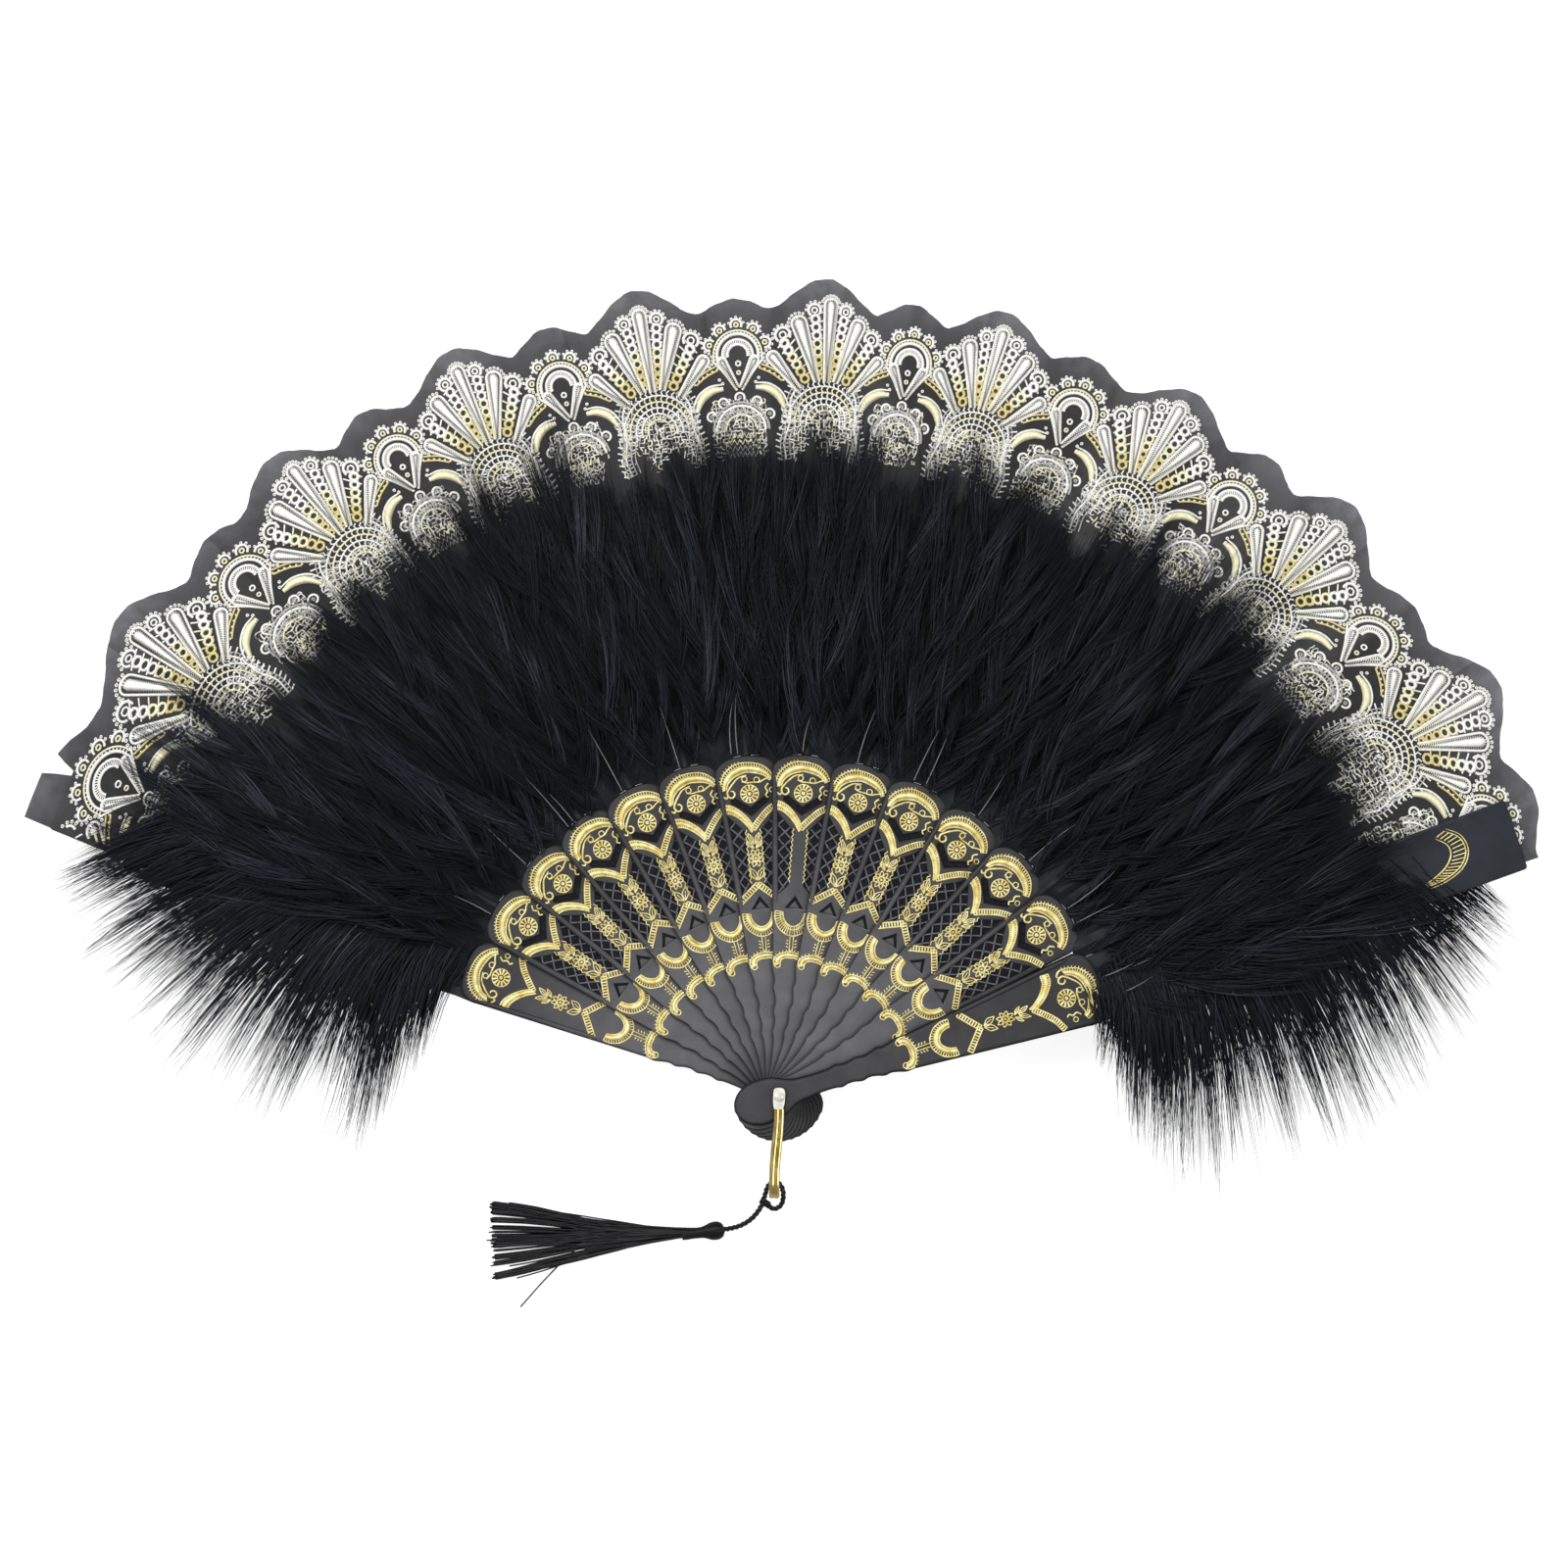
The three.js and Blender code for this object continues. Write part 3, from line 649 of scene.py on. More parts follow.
def stem(kind):
    """Between the bands: flowered on most sticks, plainer on the guards, rubbed off on one."""
    made = []
    run = np.linspace(60.8, 76.2, 44)
    if kind != "guard":
        edge = np.stack([run, 2.1 + 0.25 * np.sin(run * 4.2)], 1)
        made += [(edge, 0.14), (edge * (1, -1), 0.14)]
    if kind == "worn":
        return made
    for side in (1, -1):
        made += leaflet((61.6, 0.2 * side), (65.2, 1.8 * side), 0.85)
        made += leaflet((72.0, 0.2 * side), (75.2, 1.6 * side), 0.55)
        made += leaflet((70.8, 0.3 * side), (72.9, 2.2 * side), 0.45)
    for bearing in np.arange(22.5, 360, 45):
        root, tip = spot_at(FLOWER, 0.8, bearing), spot_at(FLOWER, 2.7, bearing)
        made += leaflet(root, tip * (1, 0.85), 0.5)[:2]
    return made + [(arc(FLOWER, 0.85, 0, 360, 14), 0.2), (arc(FLOWER, 0.2, 0, 360, 8), 0.22)]


def bracket():
    """A short stem and the scroll under it, whose ends curl inwards."""
    outer = [(36.7, 4.3), (38.4, 4.6), (40.0, 3.4), (40.8, 1.4), (40.9, 0)]
    inner = [(37.6, 2.7), (38.5, 2.5), (39.1, 1.5), (39.2, 0.6), (39.2, 0)]
    made = []
    for side in (1, -1):
        flip = (1, side)
        made += [(line * flip, width) for line, width in band(outer, inner, 0.7, 0.15, 0.5, 0.28)]
        made.append((arc((37.0, 3.4 * side), 0.8, 0, 360, 12), 0.2))
        made.append((np.array([(40.8, 0.45 * side), (45.6, 0.5 * side)]), 0.16))
        for place in along_line(through(outer, 8), 0.95)[2:]:
            made.append((np.array([place, place + (0.7, 0.25)]) * flip, np.array([0.2, 0.1])))
        for radius in (42.2, 43.1, 44.0):
            made.append((np.array([(radius, 0.9), (radius + 0.3, 1.5)]) * flip, 0.2))
    return made


def printed(kind):
    made = rosette() + crest() + stem(kind) + bracket()
    made += band([(83.6, 8.2), (83.5, 6.0), (82.0, 3.5), (79.6, 1.2), (77.2, -0.2)],
                 [(81.2, 8.3), (81.1, 6.0), (79.6, 3.6), (77.4, 1.6), (75.4, 0.4)], 0.62, 0.24, 0.5, 0.3)
    made += ladder([(76.3, 0), (78.9, -2.3), (81.2, -4.7), (82.4, -6.6), (83.2, -8.2)], 0.75, 0.72)
    for side in (1, -1) if kind != "worn" else ():
        lower = ladder([(60.5, 0), (58.4, 2.4), (55.6, 5.6)], 0.75)
        made += [(line * (1, side), width) for line, width in lower]
    outer = [(52.4, 5.3), (50.2, 5.2), (47.7, 4.1), (45.9, 1.8), (45.5, 0)]
    inner = [(52.2, 3.1), (50.7, 2.8), (49.3, 2.0), (48.4, 0.8), (48.3, 0)]
    for side in (1, -1):
        flip = (1, side)
        made += [(line * flip, width) for line, width in band(outer, inner, 0.72, 0.16, 0.36,
                                                               0.06 if kind == "worn" else 0.3)]
    return made


def foil(name, strokes):
    lines = [np.hstack([line, np.zeros((len(line), 1))]) * MM for line, _ in strokes]
    girths = [girth for _, girth in strokes]
    return thread_mesh(name, lines, girths, gold_foil, MM, FOIL_HALF_HEIGHT * MM, sides=4)


prints = {kind: foil(f"foil_{kind}", printed(kind)) for kind in ("flowered", "worn", "guard")}
for number in range(1, 13):
    kind = "worn" if number == 7 else "flowered"
    top = layer_bottom(number) + STICK_THICK + FOIL_LIFT
    put(f"stick_{number}_print", turned(prints[kind], number, top), f"stick_{number}", "gilt_wire")


# Guards: the two thick outer sticks. Their heads are printed but not pierced, and each carries
# on as a broad blade, under the leaf at the back and over it in front, where a gold crescent
# is stamped near the tip.
GUARD_HEAD = 9.7
GUARD_TIP = 222.5
GUARD_TIP_HALF = 10.3
BLADE_THICK = 1.9
BACK_BLADE_BOTTOM = 1.7
FRONT_WIDENING = 0.19
FRONT_TIP_SHIFT = 3.0
CORNER = 0.9

corner = arc((GUARD_TIP - CORNER, GUARD_TIP_HALF - CORNER), CORNER, 90, 0, 7)
blade_ring = np.vstack([
    [(RIB_START, -GUARD_HEAD)], corner * (1, -1), corner[::-1], [(RIB_START, GUARD_HEAD)]
])
guard_blade = plate("guard_blade", [blade_ring], 0, BLADE_THICK, 0.5)
back_ring, front_ring = stick_outline(GUARD_HEAD), stick_outline(GUARD_HEAD)
widened = FRONT_WIDENING * (front_ring[:, 1] > 0) * np.clip((front_ring[:, 0] - 36) / 50, 0, 1)
front_ring[:, 1] *= 1 + widened
blade_plastic = finish_of(
    "black_blade", (0.008, 0.010, 0.015), (0.018, 0.022, 0.030), (0.24, 0.34), spots=60
)
# The front guard's face is darker than the sticks
front_plastic = black_plastic.copy()
front_plastic.name = "black_styrene_front"
feed(front_plastic.node_tree.nodes[shank_to_head_tone.node.name], {"To Min": 0.62, "To Max": 0.45})
skew = Matrix.Identity(4)
skew[1][0] = FRONT_TIP_SHIFT / (GUARD_TIP - HEAD_CORNER)
skew[1][3] = -skew[1][0] * HEAD_CORNER * MM
for number, body, ring, left, low, lean, plastic in [
    (0, "back_guard", back_ring, GUARD_HEAD, BACK_BLADE_BOTTOM - GUARD_SEAT, Matrix.Identity(4),
     black_plastic),
    (13, "front_guard", front_ring, GUARD_HEAD * (1 + FRONT_WIDENING), 0, skew, front_plastic),
]:
    head = plate("guard_head", [ring, pin_hole], 0, GUARD_THICK, 1.0)
    blade = guard_blade.copy()
    blade.transform(Matrix.Translation((0, 0, low * MM)) @ lean)
    bead = raised_rail(left, GUARD_THICK - 0.1, 0.4)
    shape = joined(f"{body}_shape", [(head, 0), (blade, 1), (bead, 0)], [plastic, blade_plastic])
    put(f"{body}_moulded", turned(shape, number, layer_bottom(number)), body, "black_plastic", body)
for number, body in [(0, "back_guard"), (13, "front_guard")]:
    top = layer_bottom(number) + GUARD_THICK + FOIL_LIFT
    put(f"{body}_print", turned(prints["guard"], number, top), body, "gilt_wire")

outer = through([(203.4, 10.4), (206.8, 7.4), (207.4, 3.2), (204.6, -0.6), (199, -2.7),
                 (193, -3.2)], 8)
inner = through([(200.2, 9.2), (202.9, 6.4), (203.0, 3.4), (200.6, 0.6), (197, -1.2),
                 (193, -2.4)], 8)
strokes = [(outer, taper(len(outer), 0.22, 0.05)), (inner, taper(len(inner), 0.25, 0.05)),
           (beside(outer, 0.75), taper(len(outer), 0.18, 0.04))]
for a, b in zip(along_line(outer, 1.3), along_line(inner, 1.08)):
    strokes.append((np.array([a, a + 0.82 * (b - a)]), 0.17))
crescent = turned(foil("crescent", strokes), 13, layer_bottom(13) + BLADE_THICK + FOIL_LIFT)
put("front_guard_crescent", crescent, "front_guard", "gilt_wire")


# Pivot pin, cap and bail: a soft steel pin peened over the stack, a flat cap under it, and a
# bail bent from one gilt wire, pressed along its length into two ridges, whose ends are
# flattened into silvery eyes on the pin.
BAIL_ANGLE = 267.2
WIRE = 0.7
UPPER_WIRE = 27.3
LOWER_WIRE = 1.1
BAIL_REACH = 28.6
BAIL_CORNER = 4.0
EYE_FRONT = 26.6
EYE_BACK = 1.0
EYE_THICK = 0.8

gilt = finish_of("gilt_wire", (0.62, 0.44, 0.12), (0.92, 0.74, 0.34), (0.16, 0.28), metallic=1.0,
                 spots=260, bump=0.02)
steel = finish_of("bright_steel", (0.78, 0.78, 0.70), (0.95, 0.95, 0.86), (0.3, 0.42), metallic=0.5,
                  spots=500, bump=0.02)
for node in ("pivot_pin", "rivet_cap"):
    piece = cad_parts[node]
    piece.data.materials.clear()
    piece.data.materials.append(steel)

run_end = BAIL_REACH - BAIL_CORNER
top_bend = arc((run_end, UPPER_WIRE - BAIL_CORNER), BAIL_CORNER, 90, 0, 12)
low_bend = arc((run_end, LOWER_WIRE + BAIL_CORNER), BAIL_CORNER, 0, -90, 12)
top_run = np.stack([np.linspace(3.6, run_end - 0.5, 14), np.full(14, UPPER_WIRE)], 1)
low_run = np.stack([top_run[::-1, 0], np.full(14, LOWER_WIRE)], 1)
bent = np.vstack([top_run, top_bend, low_bend, low_run])
spine = np.stack([bent[:, 0], 0.25 * np.sin(bent[:, 0] * 0.22), bent[:, 1]], 1)
ridges = [(spine + (0, side * 0.68, 0)) * MM for side in (1, -1)]
wire = thread_mesh("bail_wire", ridges, [1.0, 1.0], gilt, 0.8 * MM, WIRE * MM, sides=14)
eye_side = through([(-2.5, 0.01), (-2.2, 1.2), (-1.2, 1.65), (0.6, 1.7), (2.2, 1.6), (3.6, 1.3),
                    (5.2, 1.2)], 4)
eye_rings = [np.vstack([eye_side, eye_side[:0:-1] * (1, -1)]), pin_hole]
eyes = [(plate("eye", eye_rings, low, EYE_THICK, 0.15), 0) for low in (EYE_FRONT, EYE_BACK)]
eyes = joined("bail_eyes_flat", eyes, [steel])
for shape in (eyes, wire):
    shape.transform(Matrix.Rotation(math.radians(BAIL_ANGLE), 4, "Z"))
put("bail_eyes", eyes, "bail", "silver_pin")
put("bail_bent_wire", wire, "bail", "gilt_wire", "bail")


# Leaf: black nylon organza in thirteen panels, each creased once between two ribs and glued to
# them. Its outer edge is cut in scallops, a tall one over each lace shell and a low one between.
RIB_THICK = 0.5
CLOTH_THICK = 0.15
PLEAT_RISE = 2.4
SHELL_ANGLES = [182.0, 165.4, 144.4, 127.9, 114.0, 100.2, 86.2, 73.6, 59.7, 45.4, 29.6, 12.5, -4.0]
FRONT_CLEAR = 23.6
LEAF_INNER = 93.0
LEAF_OUTER = 230
LEAF_REST = 96
LEAF_START = HEAD_TOP + 0.05
WEAVE_PITCH = 0.35
BLEND_RADIUS = 165


def rib_top(number):
    if number == 0:
        return BACK_BLADE_BOTTOM + BLADE_THICK
    return layer_bottom(number) + RIB_THICK


def panel_edges(panel, radius):
    """Angles of a panel's two edges. The end panels reach past the guards' middle lines."""
    left, right = ANGLES[panel - 1], ANGLES[panel]
    if panel == 1:
        left = left + np.degrees(np.arcsin(np.minimum(9.9, radius * 0.1) / radius))
    if panel == 13:
        right = right - np.degrees(np.arcsin(5.5 / radius))
    return left, right


def leaf_height(panel, radius, angle):
    """Height of the leaf's upper face. It rests on both ribs and rises to a crease between."""
    left, right = ANGLES[panel - 1], ANGLES[panel]
    low = rib_top(panel - 1) + 0.1 + CLOTH_THICK
    high = FRONT_CLEAR if panel == 13 else rib_top(panel) + 0.1 + CLOTH_THICK
    margin = np.degrees(2.0 / radius)
    share = np.clip((left - angle) / (left - right - margin), 0, 1)
    crease = PLEAT_RISE if panel < 13 else 0.25
    lift = np.clip((radius - LEAF_REST) / 25, 0.25, 1)
    ridge = crease * lift * np.clip(1 - np.abs(2 * share - 1), 0, 1)
    return low + (high - low) * share**2 * (3 - 2 * share) + ridge


def shell_place(angle):
    """Whole numbers at the middles of the lace's shells, halves at the small arches."""
    return np.interp(-np.asarray(angle), -np.array(SHELL_ANGLES), np.arange(len(SHELL_ANGLES)))


draw = np.random.default_rng(5)
PEAKS = draw.uniform(8.6, 10.6, 14)
HUMPS = draw.uniform(3.6, 5.8, 14)
LEANS = draw.uniform(-0.05, 0.05, 14)


def bell(away, wide):
    return (0.5 + 0.5 * np.cos(math.pi * np.clip(np.abs(away) / wide, 0, 1))) ** 0.8


def past_shells(place, most):
    """How much further out the border lies beyond the tenth shell."""
    return np.interp(place, [9.4, 10], [0, most])


def leaf_edge(angle):
    """A pointed peak over each shell and a low hump between, none quite like the next. The left
    end is notched and finishes in a square flap on the guard."""
    place = shell_place(angle)
    peak, hump = np.round(place).astype(int), np.floor(place).astype(int)
    edge = 224.0 + PEAKS[peak] * bell(place - peak - LEANS[peak], 0.31)
    edge = edge + HUMPS[hump] * bell(place - hump - 0.5 - LEANS[hump], 0.22)
    edge = edge + 0.14 * np.sin(place * 61) + 0.05 * np.sin(place * 149)
    edge = edge + past_shells(place, 2.6) - 8 * bell(np.asarray(angle) - 155.6, 0.8)
    return np.where(np.asarray(angle) > 156.2, 230.6, edge)


def head_line(panel, angle):
    """Inner edge of the leaf and the down on a panel: along the top of the head on its left, then
    under the next head."""
    across = np.radians(ANGLES[panel - 1] - angle) * 95
    inside = np.clip(np.abs(across) / STICK_HEAD, 0, 1)
    return np.where(across < STICK_HEAD, LEAF_START - 5.4 * inside**3.2, LEAF_INNER)


def cloth_finish():
    """Organza: a fine even weave, dark and a little see-through between its threads."""
    material = finish_of(
        "black_organza", (0.030, 0.030, 0.034), (0.062, 0.062, 0.068), (0.5, 0.7), spots=260
    )
    tree = material.node_tree
    # The rim attribute paints light and shade into the cloth's colour: paler at the bare rim, darker
    # further in and along the creases
    rim = add(tree, "ShaderNodeAttribute", attribute_name="rim").outputs["Fac"]
    weave = add(tree, "ShaderNodeUVMap", uv_map="weave").outputs["UV"]
    wave = {"Vector": weave, "Scale": 1.0, "Distortion": 0.6, "Detail": 1}
    yarns = [
        add(tree, "ShaderNodeTexWave", wave, wave_type="BANDS", bands_direction=way).outputs["Fac"]
        for way in ("X", "Y")
    ]
    cover = ranged(tree, maths(tree, "MAXIMUM", *yarns), 0, 1, 0.72, 0.97)
    backed = ranged(tree, rim, 0.3, 0.9, 1, 0)
    feed(shader_of(material), {
        "Sheen Weight": 0.15,
        "Base Color": multiplied(tree, tree.nodes["colour"].outputs["Result"], rim, 1),
        "Alpha": maths(tree, "MAXIMUM", cover, backed),
    })
    return material


organza = cloth_finish()


def body_of(number):
    return {0: "back_guard", 13: "front_guard"}.get(number, f"stick_{number}")


def on_two_sticks(piece, panel):
    """Bakes a panel piece's placement into its mesh. The points at the panel's middle and at its
    right-hand stick, where it would start to follow that stick, are worked out but not used."""
    middle = (ANGLES[panel - 1] + ANGLES[panel]) / 2
    height = (rib_top(panel - 1) + 2) * MM
    start, end = (
        (BLEND_RADIUS * MM * math.cos(turn), BLEND_RADIUS * MM * math.sin(turn), height)
        for turn in (math.radians(middle), math.radians(ANGLES[panel]))
    )
    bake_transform(piece)
    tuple(start)
    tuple(end)


def polar(radius, angle, height):
    turn = np.radians(angle)
    return np.stack([radius * np.cos(turn), radius * np.sin(turn), height], -1) * MM


def slab(name, radius, angle, top, base):
    """A closed mesh between two heights over one grid of polar places."""
    count = radius.size
    grid = np.arange(count).reshape(radius.shape)
    quads = np.stack([grid[:-1, :-1], grid[:-1, 1:], grid[1:, 1:], grid[1:, :-1]], -1)
    quads = quads.reshape(-1, 4)
    rim = np.concatenate([grid[0], grid[1:, -1], grid[-1, -2::-1], grid[-2:0:-1, 0]])
    ahead = np.roll(rim, -1)
    wall = np.stack([rim, rim + count, ahead + count, ahead], -1)
    points = [polar(radius, angle, height).reshape(-1, 3) for height in (top, base)]
    faces = np.vstack([quads, quads[:, ::-1] + count, wall[:, ::-1]])
    data = bpy.data.meshes.new(name)
    data.from_pydata(np.vstack(points).tolist(), [], faces.tolist())
    return data


def leaf_mesh(panel):
    across, out = 40, 44
    share_out = np.linspace(0, 1, out + 1)[:, None] ** 0.9
    share = np.linspace(0, 1, across + 1)
    guess = np.linspace(LEAF_INNER, LEAF_OUTER, out + 1)[:, None]
    left, right = panel_edges(panel, guess)
    angle = left + (right - left) * share
    inner = head_line(panel, angle[:1])
    radius = inner + (leaf_edge(angle) - inner) * share_out
    top = leaf_height(panel, radius, angle)
    data = slab(f"leaf_{panel}", radius, angle, top, top - CLOTH_THICK)
    weave = data.uv_layers.new(name="weave")
    places = np.stack([np.radians(angle) * radius, radius], -1).reshape(-1, 2)
    corners = np.empty(len(data.loops), int)
    data.loops.foreach_get("vertex_index", corners)
    weave.data.foreach_set("uv", (places[corners % radius.size] / WEAVE_PITCH).ravel())
    data.materials.append(organza)
    # Painted light and shade: the cloth's colour is made paler towards its bare rim, and darker further
    # in and along its creases and panel edges
    light = np.interp(radius, [198, 214, 223, 228, 234], [0.1, 0.25, 0.8, 1.5, 2.6])
    fold = 0.4 * np.exp(-((share / 0.07) ** 2)) + 0.25 * np.exp(-(((share - 0.52) / 0.06) ** 2))
    light = (light * (1 - fold)).ravel()
    rim_light = data.attributes.new("rim", "FLOAT", "POINT")
    rim_light.data.foreach_set("value", np.tile(light, 2).astype(np.float32))
    fix = bmesh.new()
    fix.from_mesh(data)
    bmesh.ops.recalc_face_normals(fix, faces=fix.faces)
    fix.to_mesh(data)
    fix.free()
    data.shade_smooth()
    data.set_sharp_from_angle(angle=SHARP_ANGLE)
    return data


for panel in range(1, 14):
    piece = shown(f"organza_{panel}", leaf_mesh(panel))
    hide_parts(f"leaf_panel_{panel}")
    on_two_sticks(piece, panel)
    wide = math.radians(GAPS[panel - 1]) * {1: 1.42, 13: 1.13}.get(panel, 1.0)
    cut = 0.5 * wide * (LEAF_OUTER**2 - LEAF_REST**2) * MM**2


# Lace border: machine-embroidered cotton and gold thread on the leaf's outer third. A shell of
# five padded fingers over a net hub repeats eleven times, with an arched medallion between.
# One repeat is drawn across and out from a shell's middle line, in millimetres.
IVORY, STRAW, GOLD, GREY, DARK = 0.4, 0.55, 0.8, 0.2, 0.0
LACE_LIFT = 0.22
DARK_LIFT = 0.62
LACE_HALF_HEIGHT = 0.26
SHELL_PITCH = 13.94


def both_sides(strokes):
    return strokes + [(line * (-1, 1), girth, tint) for line, girth, tint in strokes]


def finger(base, tip, base_half, tip_half):
    """A padded finger: a filled slip, a corded edge round its tip, and a line of dark stitches
    inside that edge."""
    base, tip = np.array(base, float), np.array(tip, float)
    run = np.linspace(0, 1, 12)
    length = np.linalg.norm(tip - base)
    end = tip - (tip - base) * tip_half / length
    middle = base + (end - base) * run[:, None]
    half = base_half + (tip_half - base_half) * run
    side = ((tip - base) / length)[::-1] * (-1, 1)
    bearing = np.linspace(math.pi, 0, 9)[1:-1, None]
    forward = (tip - base) / length
    strokes = []
    for inset, girth, tint in [(0.3, 0.44, IVORY), (0.98, 0.24, DARK)]:
        reach = np.maximum(half - inset, 0.15)
        round_tip = end + (tip_half - inset) * (np.cos(bearing) * -side + np.sin(bearing) * forward)
        loop = np.vstack([middle + side * reach[:, None], round_tip,
                          (middle - side * reach[:, None])[::-1]])
        if tint == DARK:
            dots = along_line(loop, 0.62)
            strokes += [(np.array([a, (a + b) / 2]), girth, tint) for a, b in zip(dots, dots[1:])]
        else:
            strokes.append((along_line(loop, 0.7), girth, tint))
    slip = np.vstack([middle, tip - forward * 0.3])
    shade = np.interp(np.linspace(0, 1, len(slip)), [0, 0.4, 1], [STRAW, IVORY, IVORY])
    strokes.insert(0, (slip, np.append(half, 0.6) * 0.8, shade))
    core = along_line(middle[1:], 1.0)
    strokes.append((core, np.linspace(0.2, max(tip_half - 1.45, 0.25), len(core)), shade[0]))
    return strokes


def ring(middle, radius, girth, tint, count=10, start=0, end=360):
    return (arc(middle, radius, start, end, count), girth, tint)


def shell():
    strokes = finger((0, 203.8), (0, 228.2), 0.95, 2.15)
    right = finger((2.7, 203.9), (9.7, 222.6), 0.95, 2.4)
    right += finger((7.6, 201.4), (17.0, 212.2), 0.9, 1.95)
    curl = through([(11.4, 196.2), (13.4, 199.8), (16.6, 201.9), (20.0, 202.2)], 6)
    right.append((curl, taper(len(curl), 1.25, 0.4), STRAW))
    right += [(beside(curl, gap), taper(len(curl), 0.26, 0.12), GREY) for gap in (0.55, -0.5)]
    right.append((beside(curl, 1.3), taper(len(curl), 0.34, 0.2), IVORY))
    strand = through([(12.2, 204.4), (15.4, 206.6), (19.2, 208.3)], 6)
    right += [(beside(strand, gap), 0.3, GOLD) for gap in (0.6, -0.6)]
    right += [(np.array([p, p + (0.1, -0.5)]), 0.34, STRAW) for p in along_line(strand, 1.5)]
    # Small rings between the fingers leave dark eyelets
    for (base_a, tip_a), (base_b, tip_b), count in [
        (((1.0, 204.6), (2.3, 223.4)), ((2.6, 205.0), (6.4, 221.2)), 8),
        (((4.4, 205.0), (11.2, 217.4)), ((7.4, 203.4), (14.6, 212.4)), 6),
    ]:
        for share in np.linspace(0.04, 0.97, count):
            a = np.array(base_a) + share * (np.array(tip_a) - base_a)
            b = np.array(base_b) + share * (np.array(tip_b) - base_b)
            tint = GOLD if share < 0.35 else STRAW if share < 0.6 else IVORY
            wide = np.linalg.norm(b - a) / 2
            right.append(ring((a + b) / 2, min(wide * 0.78, 1.15), 0.26 + 0.1 * wide, tint, 9))
            right.append((np.array([a, b]) + (0, 1.1), 0.26, tint))
    for middle, radius in [((4.7, 224.3), 1.75), ((13.3, 217.0), 2.1)]:
        right.append(ring(middle, radius, 0.45, IVORY, 14, -60, 200))
        right.append(ring(middle, radius * 0.45, 0.3, IVORY, 8))
    # Picots along the outer edge
    for middle, radius, first, last, count in [
        ((4.7, 224.3), 2.45, 0, 150, 6),
        ((9.0, 220.4), 2.95, -20, 110, 7),
        ((13.4, 217.0), 2.8, -20, 110, 6),
        ((15.9, 210.9), 2.5, -60, 70, 6),
        ((18.6, 203.6), 1.5, -50, 60, 3),
    ]:
        right += [ring(place, 0.34, 0.2, IVORY, 6) for place in arc(middle, radius, first, last, count)]
    strokes += [ring(place, 0.34, 0.2, IVORY, 6) for place in arc((0, 226.0), 2.7, 20, 160, 8)]
    # Net hub: arches in rows, tied by short bars
    centre = (0, 192.6)
    for out, step, tint in [(3.3, 22, STRAW), (5.0, 16, IVORY), (6.7, 12, IVORY), (8.4, 10, STRAW),
                            (10.2, 8, IVORY)]:
        spread = 205 if out < 8 else 190
        strokes.append(ring(centre, out, 0.27, tint, 26, 90 - spread / 2, 90 + spread / 2))
        for bearing in np.arange(90 - spread / 2, 90 + spread / 2, step):
            tie = [spot_at(centre, out + gap, bearing + turn)
                   for gap, turn in ((0, 0), (0.9, 3), (1.7, 0))]
            strokes.append((np.array(tie), 0.22, tint))
    strokes += [(spot_at(centre, out, bearing) + np.array([(0, 0), (0.4, 0.5)]), 0.3, IVORY)
                for out in (0.3, 1.2) for bearing in (30, 150, 270)]
    # Wings of net beside the hub, down to where the down covers them
    wing = through([(7.6, 203.0), (9.6, 198.4), (9.4, 192.4), (10.6, 186.6), (9.8, 181.5)], 6)
    right += [(line, girth, GREY) for line, girth in ladder(wing[::6], 1.25, 1.15, 0.25)]
    right += [(beside(wing, 0.2), 0.3, IVORY), (beside(wing, -2.4), 0.22, GREY)]
    right += [(np.array([p, p + (1.4, 0.6)]), 0.25, IVORY) for p in along_line(beside(wing, 1.3), 1.7)]
    return strokes + both_sides(right)


